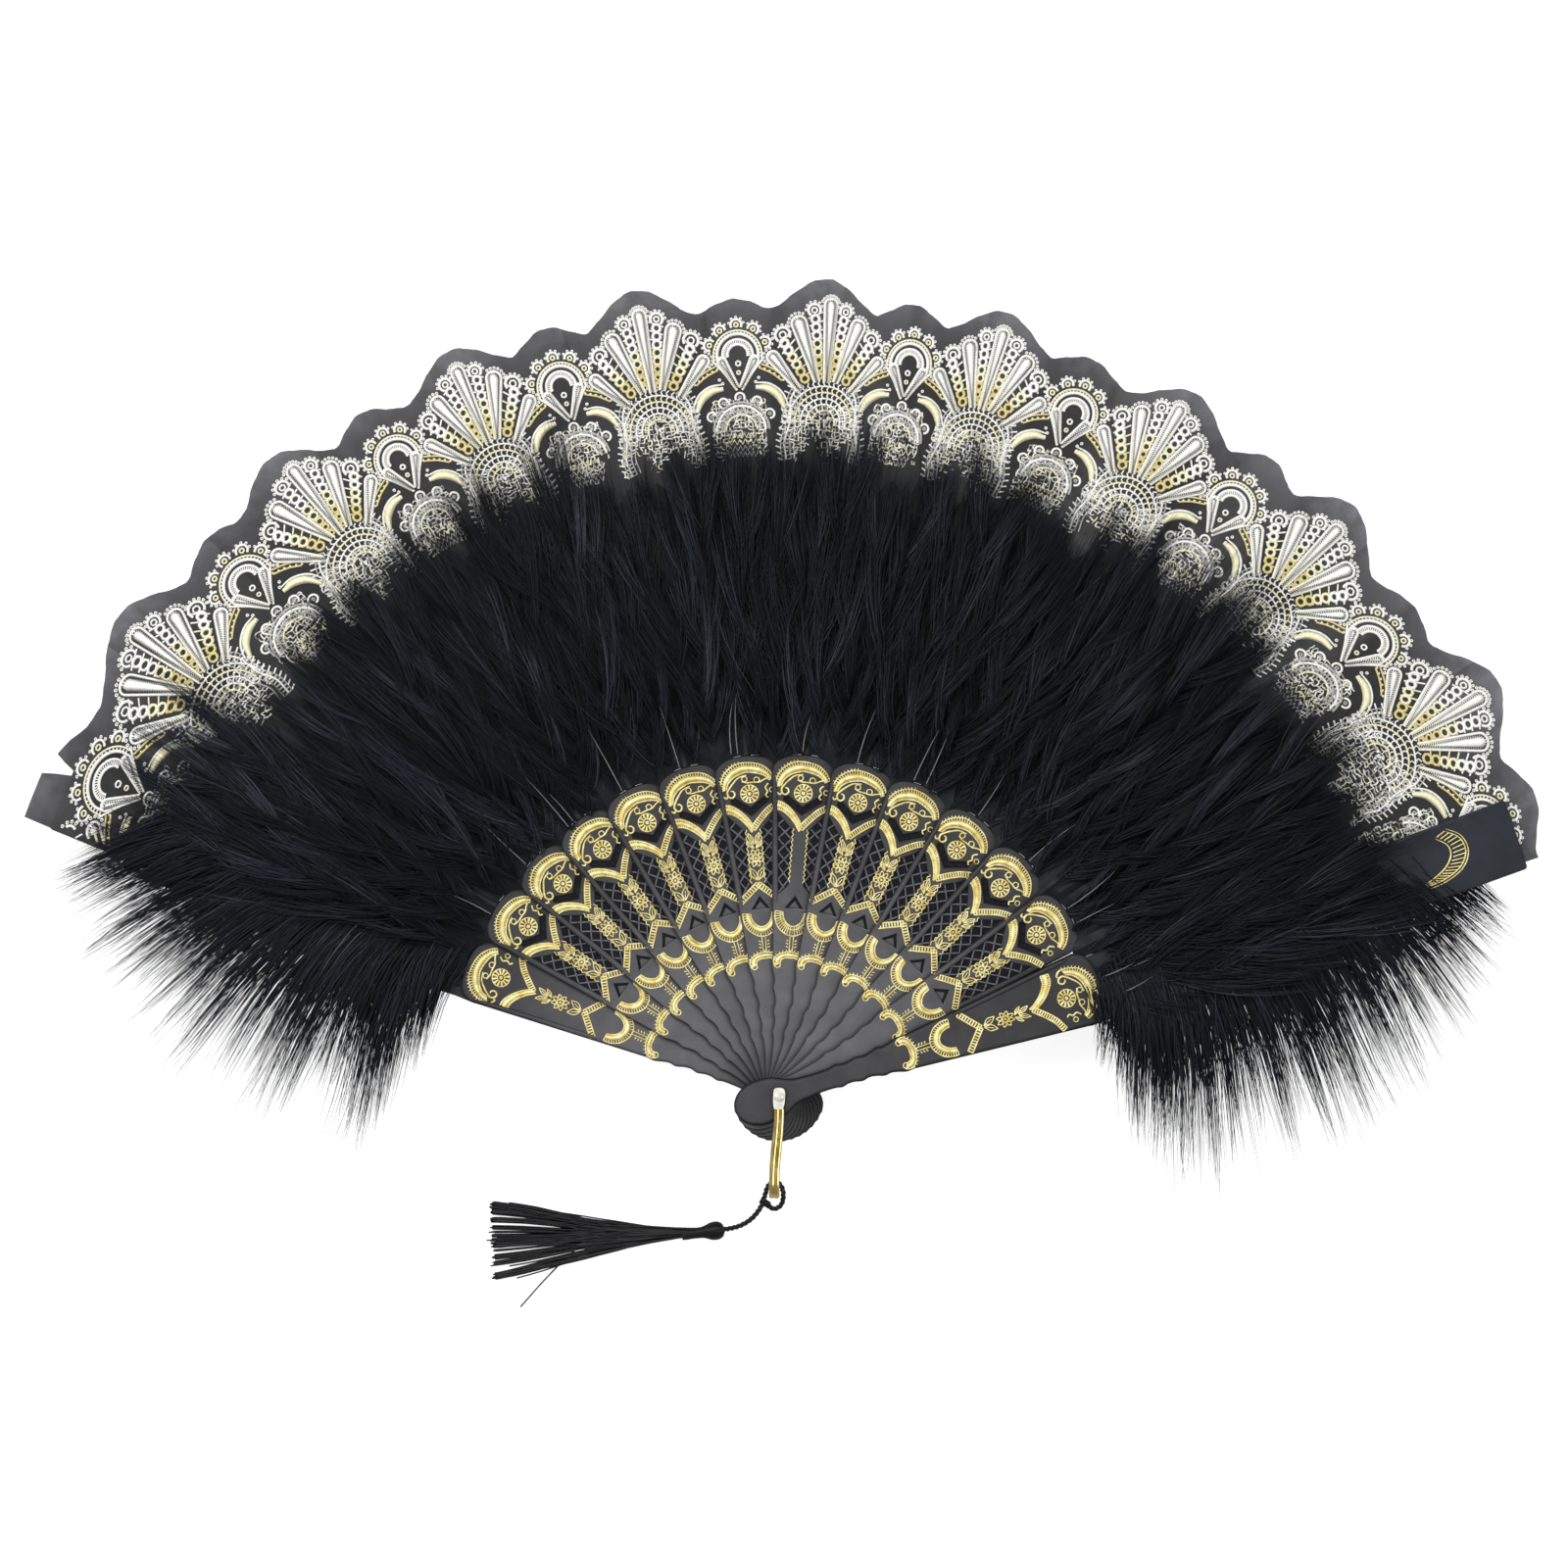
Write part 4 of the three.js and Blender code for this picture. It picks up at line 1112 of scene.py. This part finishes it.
def medallion():
    """Arched medallion between two shells, and the crown under it."""
    hole = (0, 211.8)
    strokes = []
    for out, girth, tint in [(2.9, 0.45, IVORY), (4.3, 0.42, IVORY), (5.9, 0.5, IVORY),
                             (6.9, 0.3, STRAW)]:
        strokes.append(ring(hole, out, girth, tint, 24, -12, 192))
    for bearing in np.arange(-6, 190, 8.5):
        for inner, outer in ((3.0, 4.2), (6.0, 7.0)):
            tie = [spot_at(hole, out, bearing) for out in (inner, outer)]
            strokes.append((np.array(tie), 0.2, IVORY))
    for bearing in (22, 56, 90, 124, 158):
        lobe = spot_at(hole, 8.5, bearing)
        strokes.append(ring(lobe, 1.55, 0.4, IVORY, 14, bearing - 120, bearing + 120))
        strokes.append(ring(lobe, 0.62, 0.3, STRAW, 8))
        picots = arc(lobe, 2.15, bearing - 75, bearing + 75, 5)
        strokes += [ring(place, 0.3, 0.18, IVORY, 6) for place in picots]
    side = finger((0.5, 202.1), (5.4, 211.4), 0.7, 1.5)
    side.append((through([(0.7, 201.6), (3.9, 206.4), (7.2, 210.4)], 6), 0.36, IVORY))
    strokes += [ring((0, 209.2), 0.7, 0.3, IVORY, 8), ring((0, 206.6), 0.5, 0.28, STRAW, 8)]
    crown = (0, 190.2)
    for out, girth, tint in [(4.4, 0.3, STRAW), (5.6, 0.3, GREY), (6.9, 0.42, IVORY),
                             (7.9, 0.36, GREY)]:
        strokes.append(ring(crown, out, girth, tint, 24, 0, 180))
    for bearing in (28, 59, 90, 121, 152):
        lobe = spot_at(crown, 9.3, bearing)
        strokes.append(ring(lobe, 1.3, 0.36, IVORY, 12, bearing - 120, bearing + 120))
        strokes.append(ring(lobe, 0.4, 0.26, GREY, 7))
    for bearing in np.arange(4, 180, 9):
        tie = [spot_at(crown, out, bearing + turn) for out, turn in ((4.4, 0), (6.2, 4), (7.9, 0))]
        strokes.append((np.array(tie), 0.2, GREY))
    for out, across in [(188.6, 4.2), (186.8, 5.4), (185.0, 5.0), (183.2, 4.2)]:
        zigzag = np.stack([np.linspace(-across, across, 15),
                           out + 0.7 * np.tile([1, -1], 8)[:15]], 1)
        strokes.append((zigzag, 0.24, STRAW if out > 186 else GREY))
    return strokes + both_sides(side)


def net(reach, inner, outer):
    """Open ground of short knotted stitches under the motifs' feet, ragged where the down starts."""
    across, out = np.meshgrid(np.arange(-reach, reach, 1.0), np.arange(inner, outer, 1.0))
    across, out = (side + draw.uniform(-0.38, 0.38, side.shape) for side in (across, out))
    ragged = inner + 3.5 + 3 * np.sin(across[0] * draw.uniform(0.4, 0.7) + draw.uniform(0, 6))
    knots, strokes = np.stack([across, out], -1), []
    for row, column in np.ndindex(across.shape):
        kept = np.clip((out[row, column] - ragged[column]) / 6 + 0.35, 0, 0.85)
        for beyond in ((row + 1, column), (row, column + 1)):
            if beyond[0] < len(out) and beyond[1] < len(ragged) and draw.random() < kept:
                ends = knots[row, column], knots[beyond]
                bow = sum(ends) / 2 + draw.uniform(-0.3, 0.3, 2)
                tint = draw.choice([GREY, IVORY, 0.3, STRAW, 0.14])
                strokes.append((np.array([ends[0], bow, ends[1]]), draw.uniform(0.13, 0.27), tint))
    return strokes


def placed(strokes, first, last, shift):
    """Bends one repeat round the fan at every shell, or half a pitch on. Each line is a table
    of angle, radius, girth and tint."""
    made = []
    for number in np.arange(first, last) + shift:
        for line, girth, tint in strokes:
            place = number + np.degrees(line[:, 0] / line[:, 1]) / SHELL_PITCH
            angle = np.interp(place, np.arange(len(SHELL_ANGLES)), SHELL_ANGLES)
            radius = line[:, 1] + past_shells(place, 3.4)
            spread = (np.broadcast_to(value, len(line)) for value in (girth, tint))
            made.append(np.stack([angle, radius, *spread], 1))
    return made


def cut_at_sticks(panel, line):
    """The parts of a line that lie on one panel, each up to the stick where it leaves it."""
    angle, radius, girth = line[:, :3].T
    left, right = panel_edges(panel, float(radius.mean()))
    wide = np.degrees(girth / radius)
    first_edge = left - (0.25 + wide if panel == 1 else 0)
    last_edge = right + (0.1 + wide if panel == 13 else 0)
    inside = (angle <= first_edge) & (angle > last_edge) & (radius + girth < leaf_edge(angle) - 0.2)
    spots = np.flatnonzero(inside)
    for run in np.split(spots, np.flatnonzero(np.diff(spots) > 1) + 1) if len(spots) else ():
        kept = [line[run]]
        for end, beyond in ((run[0], run[0] - 1), (run[-1], run[-1] + 1)):
            if not 0 <= beyond < len(angle) or right < angle[beyond] <= left:
                continue
            edge = left if angle[beyond] > left else right
            share = (edge - angle[end]) / (angle[beyond] - angle[end])
            cut = line[end] + min(max(share, 0), 1) * (line[beyond] - line[end])
            kept.insert(0 if beyond < end else len(kept), cut[None])
        cut_line = np.vstack(kept)
        if len(cut_line) > 1:
            yield cut_line


def tinted_finish(name, stops, roughness, spots, bump, mottling):
    """A material whose colour follows each line's own tint through a list of stops."""
    material = finish_of(name, (0, 0, 0), (1, 1, 1), roughness, spots=spots, bump=bump)
    tree = material.node_tree
    tint = add(tree, "ShaderNodeAttribute", attribute_name="tint").outputs["Fac"]
    ramp = add(tree, "ShaderNodeValToRGB", {"Fac": tint})
    while len(ramp.color_ramp.elements) < len(stops):
        ramp.color_ramp.elements.new(0.5)
    for element, (place, colour) in zip(ramp.color_ramp.elements, stops):
        element.position = place
        element.color = (*colour, 1)
    mask = tree.nodes["mottle"].outputs["Mask"]
    feed(shader_of(material),
         {"Base Color": multiplied(tree, ramp.outputs["Color"], mask, mottling)})
    return material


lace_thread = tinted_finish("lace_thread", [
    (DARK, (0.02, 0.02, 0.02)), (0.1, (0.04, 0.04, 0.04)), (GREY, (0.42, 0.42, 0.41)),
    (IVORY, (0.92, 0.91, 0.86)), (STRAW, (0.87, 0.83, 0.56)), (GOLD, (0.72, 0.61, 0.26)),
], (0.5, 0.75), 2200, 0.5, 0.28)
drawn = placed(shell(), 1, 12, 0) + placed(medallion(), 1, 12, 0.5)
for number in range(1, 12):
    inner = 175 if number > 9 else 181
    drawn += placed(net(12, inner, 198), number, number + 1, 0)
    drawn += placed(net(8, inner + 1, 200), number, number + 1, 0.5)
for panel in range(1, 14):
    cuts = [part for line in drawn for part in cut_at_sticks(panel, line)]
    lines = []
    for cut in cuts:
        height = leaf_height(panel, cut[:, 1], cut[:, 0]) + LACE_LIFT
        height += np.where(cut[:, 3] == DARK, DARK_LIFT, 0.0)
        lines.append(polar(cut[:, 1], cut[:, 0], height))
    piece = threads(f"lace_{panel}", lines, [cut[:, 2] for cut in cuts], lace_thread, MM,
                    LACE_HALF_HEIGHT * MM, sides=4, tints=[cut[:, 3] for cut in cuts])
    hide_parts(f"lace_panel_{panel}")
    on_two_sticks(piece, panel)


# Feathers: dyed marabou sewn over the leaf, quills at the stick heads and barbs flowing outwards
# in soft locks. The outer guards carry fuller tufts that fall past them in pointed wisps.
draw = np.random.default_rng(11)
LACE_INNER = 196.0
# The palest tint, used only for the quills, is partly their own colour and partly a painted glint
TINT_PALE = 1.0
down = tinted_finish("dyed_down", [
    (0.0, (0.0025, 0.003, 0.005)), (0.45, (0.007, 0.0095, 0.017)),
    (0.85, (0.026, 0.033, 0.052)), (1.0, (0.24, 0.24, 0.25)),
], (0.55, 0.75), 500, 0.05, 0.35)
feed(shader_of(down), {"Specular IOR Level": 0.3})
BARB_POINTS = 5
BARB_HALF = 0.13
LOCKS = 15
LOCK_DRAWS = 60
WISP_STRANDS = 28
WISP_SWING = 0.3
PAD_THICK = 3.0
BARB_TAPER = np.array([0.85, 1.0, 0.85, 0.6, 0.15])
WISP_TAPER = np.array([1.9, 1.7, 1.15, 0.6, 0.15])


def plume(angle, root, end, tip, count, ground, thickness):
    """Barbs of one plume, with their tints and their taper. The barbs leave the shaft on both
    sides and turn outwards, in locks that share a lean."""
    along = (np.arange(count) + draw.random(count)) / count
    side = np.where(draw.random(count) < 0.5, 1.0, -1.0)
    lock = (along * LOCKS).astype(int) * 2 + (side > 0)
    lean = draw.normal(0, 9, LOCK_DRAWS)[lock] + draw.normal(0, 4.5, count)
    reach = draw.normal(1, 0.14, LOCK_DRAWS)[lock]
    start = root + along * (end - root)
    length = (12 + 22 * np.minimum(along * 4, 1)) * reach * draw.uniform(0.75, 1.1, count)
    stop = tip + draw.normal(0, 4.5, LOCK_DRAWS)[lock] + draw.normal(0, 4.5, count)
    length = np.maximum(np.minimum(length, stop - start), 5)
    open_at, close_at = side * (46 - 22 * along) + lean, side * 5 + 0.6 * lean
    shade = np.clip(draw.normal(0.4, 0.2, LOCK_DRAWS)[lock] + draw.normal(0, 0.19, count), 0, 0.87)
    level = np.clip(draw.uniform(0.15, 1, LOCK_DRAWS)[lock] + draw.uniform(-0.3, 0.15, count), 0, 1)
    radius, across = start, draw.normal(0, 0.6, count)
    places = []
    for step, share in enumerate(np.linspace(0, 1, BARB_POINTS)):
        if step:
            heading = np.radians(open_at + (close_at - open_at) * share**0.6)
            radius = radius + np.cos(heading) * length / (BARB_POINTS - 1)
            across = across + np.sin(heading) * length / (BARB_POINTS - 1)
        bearing = angle + np.degrees(across / radius)
        edge = np.clip((radius - root + 3) / 22, 0, 1) * np.clip((tip + 8 - radius) / 34, 0.1, 1)
        rise = thickness * (0.12 + 0.88 * edge) * level * (0.45 + 0.55 * math.sin(2.6 * share + 0.3))
        places.append(polar(radius, bearing, ground(radius, bearing) + 0.5 + rise))
    return np.stack(places, 1), shade, BARB_TAPER


def over_panel(panel):
    """Height of whatever carries the down over a panel."""
    def ground(radius, angle):
        edges = panel_edges(panel, radius)
        return leaf_height(panel, radius, np.clip(angle, np.minimum(*edges), np.maximum(*edges)))
    return ground


def down_line(panel, angle):
    """Where the down starts: along the tops of the two heads beside it."""
    if panel == 14:
        return np.full(np.shape(angle), 97.6)
    reach = GUARD_HEAD if panel == 13 else STICK_HEAD
    inside = np.clip(np.radians(angle - ANGLES[panel]) * 95 / reach, 0, 1)
    return np.maximum(head_line(panel, angle), LEAF_START - 5.4 * inside**3.2)


def over_front_guard(radius, angle):
    return np.full(np.shape(radius), layer_bottom(13) + BLADE_THICK)


def wisps(roots, tips, low, count):
    """Pointed locks from along a guard's edge to the tuft's outline. Each lock starts out turned
    a little towards the guard's own direction."""
    lines, shades = [], []
    root_run, tip_run = through(roots, 30), through(tips, 30)
    for share in (np.arange(count) + draw.uniform(-0.4, 0.4, count)) / (count - 1):
        share = min(max(share, 0), 1)
        root = root_run[int(share * (len(root_run) - 1))]
        tip = tip_run[int(share * (len(tip_run) - 1))]
        tip = root + (tip - root) * (1.05 - 0.5 * draw.random() ** 1.7)
        length = np.linalg.norm((tip - root)[:2])
        outward = root[:2] / np.linalg.norm(root[:2])
        heading = (tip - root)[:2] / length
        first = outward * WISP_SWING + heading * (1 - WISP_SWING)
        last = heading - outward * 0.35 * WISP_SWING
        bend = draw.normal(0, 0.07, 2)
        near, far = root[:2] + first * length * 0.4, tip[:2] - (last + bend) * length * 0.33
        shade = np.clip(draw.normal(0.4, 0.16), 0.05, 0.8)
        pull = draw.uniform(0.42, 1.1, WISP_STRANDS)
        offset = draw.normal(0, draw.uniform(1.8, 3.6), (WISP_STRANDS, 2))
        drift = offset * draw.uniform(0.05, 0.7) + draw.normal(0, 0.4, (WISP_STRANDS, 2))
        lift = draw.random(WISP_STRANDS)
        points = []
        for t in np.linspace(0, 1, BARB_POINTS):
            at = pull * t
            weights = [(1 - at) ** 3, 3 * at * (1 - at) ** 2, 3 * at**2 * (1 - at), at**3]
            flat = sum(
                weight[:, None] * point
                for weight, point in zip(weights, [root[:2], near, far, tip[:2]])
            )
            flat = flat + offset * (1 - at[:, None]) + drift * at[:, None]
            height = root[2] + (tip[2] - root[2]) * at
            height = height + lift * (1 + 5 * np.sin(np.pi * np.clip(at, 0, 1)))
            points.append(np.hstack([flat, np.maximum(height, low)[:, None]]) * MM)
        lines.append(np.stack(points, 1))
        shades.append(np.clip(shade + draw.normal(0, 0.12, WISP_STRANDS), 0, 0.88))
    return np.vstack(lines), np.concatenate(shades), WISP_TAPER


def quills(ground, angles):
    """Bare quill ends by the stick heads, pale grey: partly their own colour and partly a painted glint.
    """
    lines = []
    for angle in angles:
        root, length = draw.uniform(97.3, 98.5), draw.uniform(9, 20)
        radius = np.linspace(root, root + length, BARB_POINTS)
        bearing = angle + draw.normal(0, 0.5) * np.linspace(0, 1, BARB_POINTS) ** 2
        height = ground(radius, bearing) + np.linspace(2.5, 8.5, BARB_POINTS)
        lines.append(polar(radius, bearing, height))
    return np.array(lines), np.full(len(lines), TINT_PALE), BARB_TAPER * 1.6


def under_down(panel, left, right, ground, tip):
    """The felted mass under the barbs: a low crowned pad, darker than they are, which is painted shade
    deep in the down.
    """
    across, out = 18, 26
    share_a, share_o = np.meshgrid(np.linspace(0, 1, across + 1), np.linspace(0, 1, out + 1))
    angle = left + (right - left) * share_a
    inner = down_line(panel, angle)
    radius = inner + (tip - inner) * share_o
    radius = radius + 2.2 * np.sin(share_a * 23 + panel * 1.7) * share_o**4
    crown = np.sin(math.pi * np.clip(share_o, 0, 1)) ** 0.5 * (0.8 + 0.2 * np.sin(share_a * 31 + panel))
    base = ground(radius, angle) + 0.06
    top = base + 0.14 + np.clip(share_o * 14, 0, 1) * 0.5 + PAD_THICK * crown
    data = slab("under_down", radius, angle, top, base)
    depth_shade = data.attributes.new("tint", "FLOAT", "POINT")
    # Painted shade: the pad takes a dark tint
    depth_shade.data.foreach_set("value", np.full(len(data.vertices), 0.12, np.float32))
    return data


def feathered(name, groups, pad):
    """One object of barbs over a pad. Each group holds barbs, their tints and their taper."""
    lines = [line for barbs, _, _ in groups for line in barbs]
    shades = np.concatenate([shade for _, shade, _ in groups])
    girths = [taper_off for barbs, _, taper_off in groups for _ in barbs]
    piece = threads(name, lines, girths, down, BARB_HALF * MM, BARB_HALF * MM, sides=3, tints=shades)
    whole = bmesh.new()
    whole.from_mesh(piece.data)
    whole.from_mesh(pad)
    bmesh.ops.recalc_face_normals(whole, faces=whole.faces)
    whole.to_mesh(piece.data)
    whole.free()
    bpy.data.meshes.remove(pad)
    return piece


def fluffed(piece, node, body):
    """The down rides on one stick, in place of the model's feather clump."""
    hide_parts(node)
    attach(piece, body)
    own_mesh(piece)


LEFT_ROOTS = [(-171, 78, 5), (-163, 70, 7), (-147, 62, 7), (-137, 57, 7), (-124, 50, 7),
              (-114, 46, 7), (-104, 41, 6), (-94, 39, 5)]
LEFT_TIPS = [(-207, 67, 2), (-206, 52, 1.5), (-194, 35, 1.5), (-184, 19, 1.5), (-163, 1, 1.5),
             (-144, -8, 1.5), (-122, -15, 1.5), (-102, 12, 3)]
RIGHT_ROOTS = [(184, 68, 20), (170, 62, 24), (154, 54, 28), (138, 47, 29), (124, 41, 29),
               (112, 37, 29), (101, 34, 29), (93, 30, 28)]
RIGHT_TIPS = [(210, 52, 18), (203, 34, 17), (185, 6, 16), (170, -8, 15), (145, -14, 15),
              (122, -22, 15), (106, -17, 17), (91, 13, 24)]

for panel in range(1, 14):
    ground = over_panel(panel)
    left, right = ANGLES[panel - 1], ANGLES[panel]
    groups = []
    for share in (0.17, 0.5, 0.83):
        angle = left + (right - left) * (share + draw.normal(0, 0.03))
        tip = LACE_INNER - 5 + draw.uniform(-9, 8)
        barbs = 820 if panel == 1 else 880
        groups.append(plume(angle, 95.5 + draw.uniform(0, 3), tip - 26, tip, barbs, ground, 9.5))
    quill_angles = right + 1.2 + draw.normal(0, 0.8, 1 if panel % 3 else 2)
    groups.append(quills(ground, quill_angles))
    if panel == 1:
        for offset in (1.5, -2.5, -6.5, -10):
            groups.append(plume(left + offset, 130, 186, 205, 500, ground, 7.5))
        groups.append(wisps(LEFT_ROOTS, LEFT_TIPS, 0.6, 104))
    pad_end = 193 if panel == 1 else 176
    pad = under_down(panel, left + (4 if panel == 1 else -0.3), right + 0.4, ground, pad_end)
    piece = feathered(f"down_{panel}", groups, pad)
    fluffed(piece, f"feather_clump_{panel}", body_of(panel - 1))

groups = []
for offset in (2.6, -0.2, -2.6):
    groups.append(plume(ANGLES[13] + offset, 97, 168, 190, 680, over_front_guard, 8))
groups.append(wisps(RIGHT_ROOTS, RIGHT_TIPS, 8, 128))
groups.append(quills(over_front_guard, [ANGLES[13] + 1.5, ANGLES[13] - 2]))
pad = under_down(14, ANGLES[13] + 3.2, ANGLES[13] - 2.6, over_front_guard, 172)
piece = feathered("down_14", groups, pad)
fluffed(piece, "feather_clump_14", "front_guard")


# Tassel head: the skirt's threads pass through the cord's end loop and are bound below it with
# thirty turns of the same silk, which makes a small barrel.
draw = np.random.default_rng(23)
HEAD_START = np.array((-15.95, -39.1, 2.6))
HEAD_LONG = 5.0
HEAD_TURN = math.radians(187)
HEAD_RUN = [-0.1, 0.4, 1.4, 2.6, 3.8, 5.0, 6.2, 9, 12]
HEAD_RADIUS = [0.7, 1.8, 2.35, 2.45, 2.25, 1.75, 1.4, 1.3, 1.45]
TURNS = 30
head_ahead = np.array((math.cos(HEAD_TURN), math.sin(HEAD_TURN), 0))
head_across = np.array((-math.sin(HEAD_TURN), math.cos(HEAD_TURN), 0))
head_up = np.array((0.0, 0.0, 1.0))


def head_point(run, gap, turn):
    """A place on the barrel or a gap above it, run mm past its start."""
    radius = np.interp(run, HEAD_RUN, HEAD_RADIUS) + gap
    ring = np.multiply.outer(np.cos(turn), head_across) + np.multiply.outer(np.sin(turn), head_up)
    return HEAD_START + np.multiply.outer(run, head_ahead) + np.reshape(radius, (-1, 1)) * ring


turns = np.linspace(0, TURNS, TURNS * 14)
bound_run = 0.4 + 10.6 * turns / TURNS
bound = head_point(bound_run, 0.05, 2 * math.pi * turns)
neck_run = np.linspace(-0.1, 12, 20)
neck = [
    head_point(neck_run, -0.1, np.full(20, turn))
    for turn in np.linspace(0, 2 * math.pi, 26, endpoint=False)
]
head = threads("tassel_head_bound", [bound * MM, *[line * MM for line in neck]],
               [1.0] + [1.1] * len(neck), black_silk, 0.23 * MM, 0.23 * MM, sides=8)
core = bmesh.new()
bmesh.ops.create_cone(core, cap_ends=True, segments=24, radius1=1.6, radius2=1.2, depth=HEAD_LONG)
core.transform(
    Matrix.Translation(Vector((HEAD_START + head_ahead * HEAD_LONG / 2) * MM))
    @ Matrix.Rotation(HEAD_TURN, 4, "Z")
    @ Matrix.Rotation(math.pi / 2, 4, "Y")
    @ Matrix.Scale(MM, 4)
)
core.from_mesh(head.data)
core.to_mesh(head.data)
core.free()
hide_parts("tassel_head")
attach(head, "tassel")

# Tassel skirt: a few hundred loose rayon threads, cut off level. They fan out flat on the table
# and a few stray from the rest.
SKIRT_END = np.array((-81.8, -42.4))
SKIRT_THREADS = 300
SKIRT_BUNCHES = 20
LOOSE_THREADS = 44
skirt_lines, skirt_tints = [], []
skirt_start = HEAD_START + head_ahead * 5.2
skirt_ahead = SKIRT_END - skirt_start[:2]
skirt_long = np.linalg.norm(skirt_ahead)
skirt_ahead = skirt_ahead / skirt_long
skirt_across = np.array((-skirt_ahead[1], skirt_ahead[0]))
bunches = np.linspace(-1, 1, SKIRT_BUNCHES) + draw.normal(0, 0.025, SKIRT_BUNCHES)
crowds = draw.uniform(0.5, 1.5, SKIRT_BUNCHES) * np.where(bunches > 0.6, 0.1, 1)
share = np.linspace(0, 1, 15)
half = np.interp(share, [0, 0.11, 0.3, 0.5, 0.72, 0.88, 1], [1.0, 1.2, 2.5, 4.5, 7.4, 9.8, 11.0])
low = np.interp(share, [0, 0.12, 0.4, 1], [1.6, 1.6, 0.45, 0.35])
thick = np.interp(share, [0, 0.12, 0.3, 1], [2.0, 2.0, 2.6, 1.1])
for number in range(SKIRT_THREADS):
    bunch = bunches[draw.choice(SKIRT_BUNCHES, p=crowds / crowds.sum())]
    begin, finish = draw.uniform(-1, 0.8), bunch + draw.normal(0, 0.02)
    place = begin + (finish - begin) * np.clip(share * 1.5, 0, 1) ** 1.1
    reach = skirt_long * (1 + 0.01 * draw.normal() - (0.08 if draw.random() < 0.04 else 0))
    side = place * half + 0.2 * draw.normal() * np.sin(math.pi * share)
    if number < LOOSE_THREADS:
        bow = np.sin(math.pi * np.clip((share - 0.25) / 0.75, 0, 1)) ** 1.2
        edge, close = (-1, 0.97) if number % 11 == 0 else (1, draw.uniform(0.84, 1.0))
        side = edge * half * close * (1 - 0.1 * bow) + edge * draw.uniform(-0.9, 1.9) * bow
    crown = np.sqrt(np.clip(1 - (place * (1 - 0.35 * share)) ** 2, 0.05, 1))
    height = low + draw.random() * thick * crown
    flat = skirt_start[:2] + np.multiply.outer(share * reach, skirt_ahead)
    flat = flat + np.multiply.outer(side, skirt_across)
    skirt_lines.append(np.column_stack([flat, height]) * MM)
    skirt_tints.append(draw.uniform(0, 1))
stray = through([(*skirt_start[:2], 1.8), (-45, -42.4, 0.9), (-57, -44.2, 0.6), (-66, -52.2, 0.45),
                 (-74.3, -61.4, 0.4)], 5)
skirt_lines += [stray * MM, (stray + (0.12, 0.1, 0.1)) * MM]
skirt_tints += [0.5, 0.5]
# A few turns bind the cord's end to its own run, which closes the loop
bind_from, bind_to = np.array((-3.0, -32.1, 0.9)), np.array((-5.3, -30.6, 1.5))
bind_ahead = (bind_to - bind_from) / np.linalg.norm(bind_to - bind_from)
bind_up = np.cross(bind_ahead, (0.44, 0.9, 0))
bind_up /= np.linalg.norm(bind_up)
bind_side = np.cross(bind_up, bind_ahead)
bind_turns = np.linspace(0, 5, 60)
bind = bind_from + np.multiply.outer(bind_turns / 5, bind_to - bind_from)
bind += 0.75 * np.multiply.outer(np.cos(2 * math.pi * bind_turns), bind_side)
bind += 0.6 * np.multiply.outer(np.sin(2 * math.pi * bind_turns), bind_up)
binding = threads("tassel_cord_bound", [bind * MM, np.array([bind_from, bind_to]) * MM], [0.32, 0.7],
                  black_silk, MM, 0.9 * MM, sides=8)
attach(binding, "tassel")
skirt = threads("tassel_skirt_threads", skirt_lines, [1.0] * len(skirt_lines), black_silk,
                0.23 * MM, 0.2 * MM, sides=5, tints=skirt_tints)
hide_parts("tassel_skirt")
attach(skirt, "tassel")
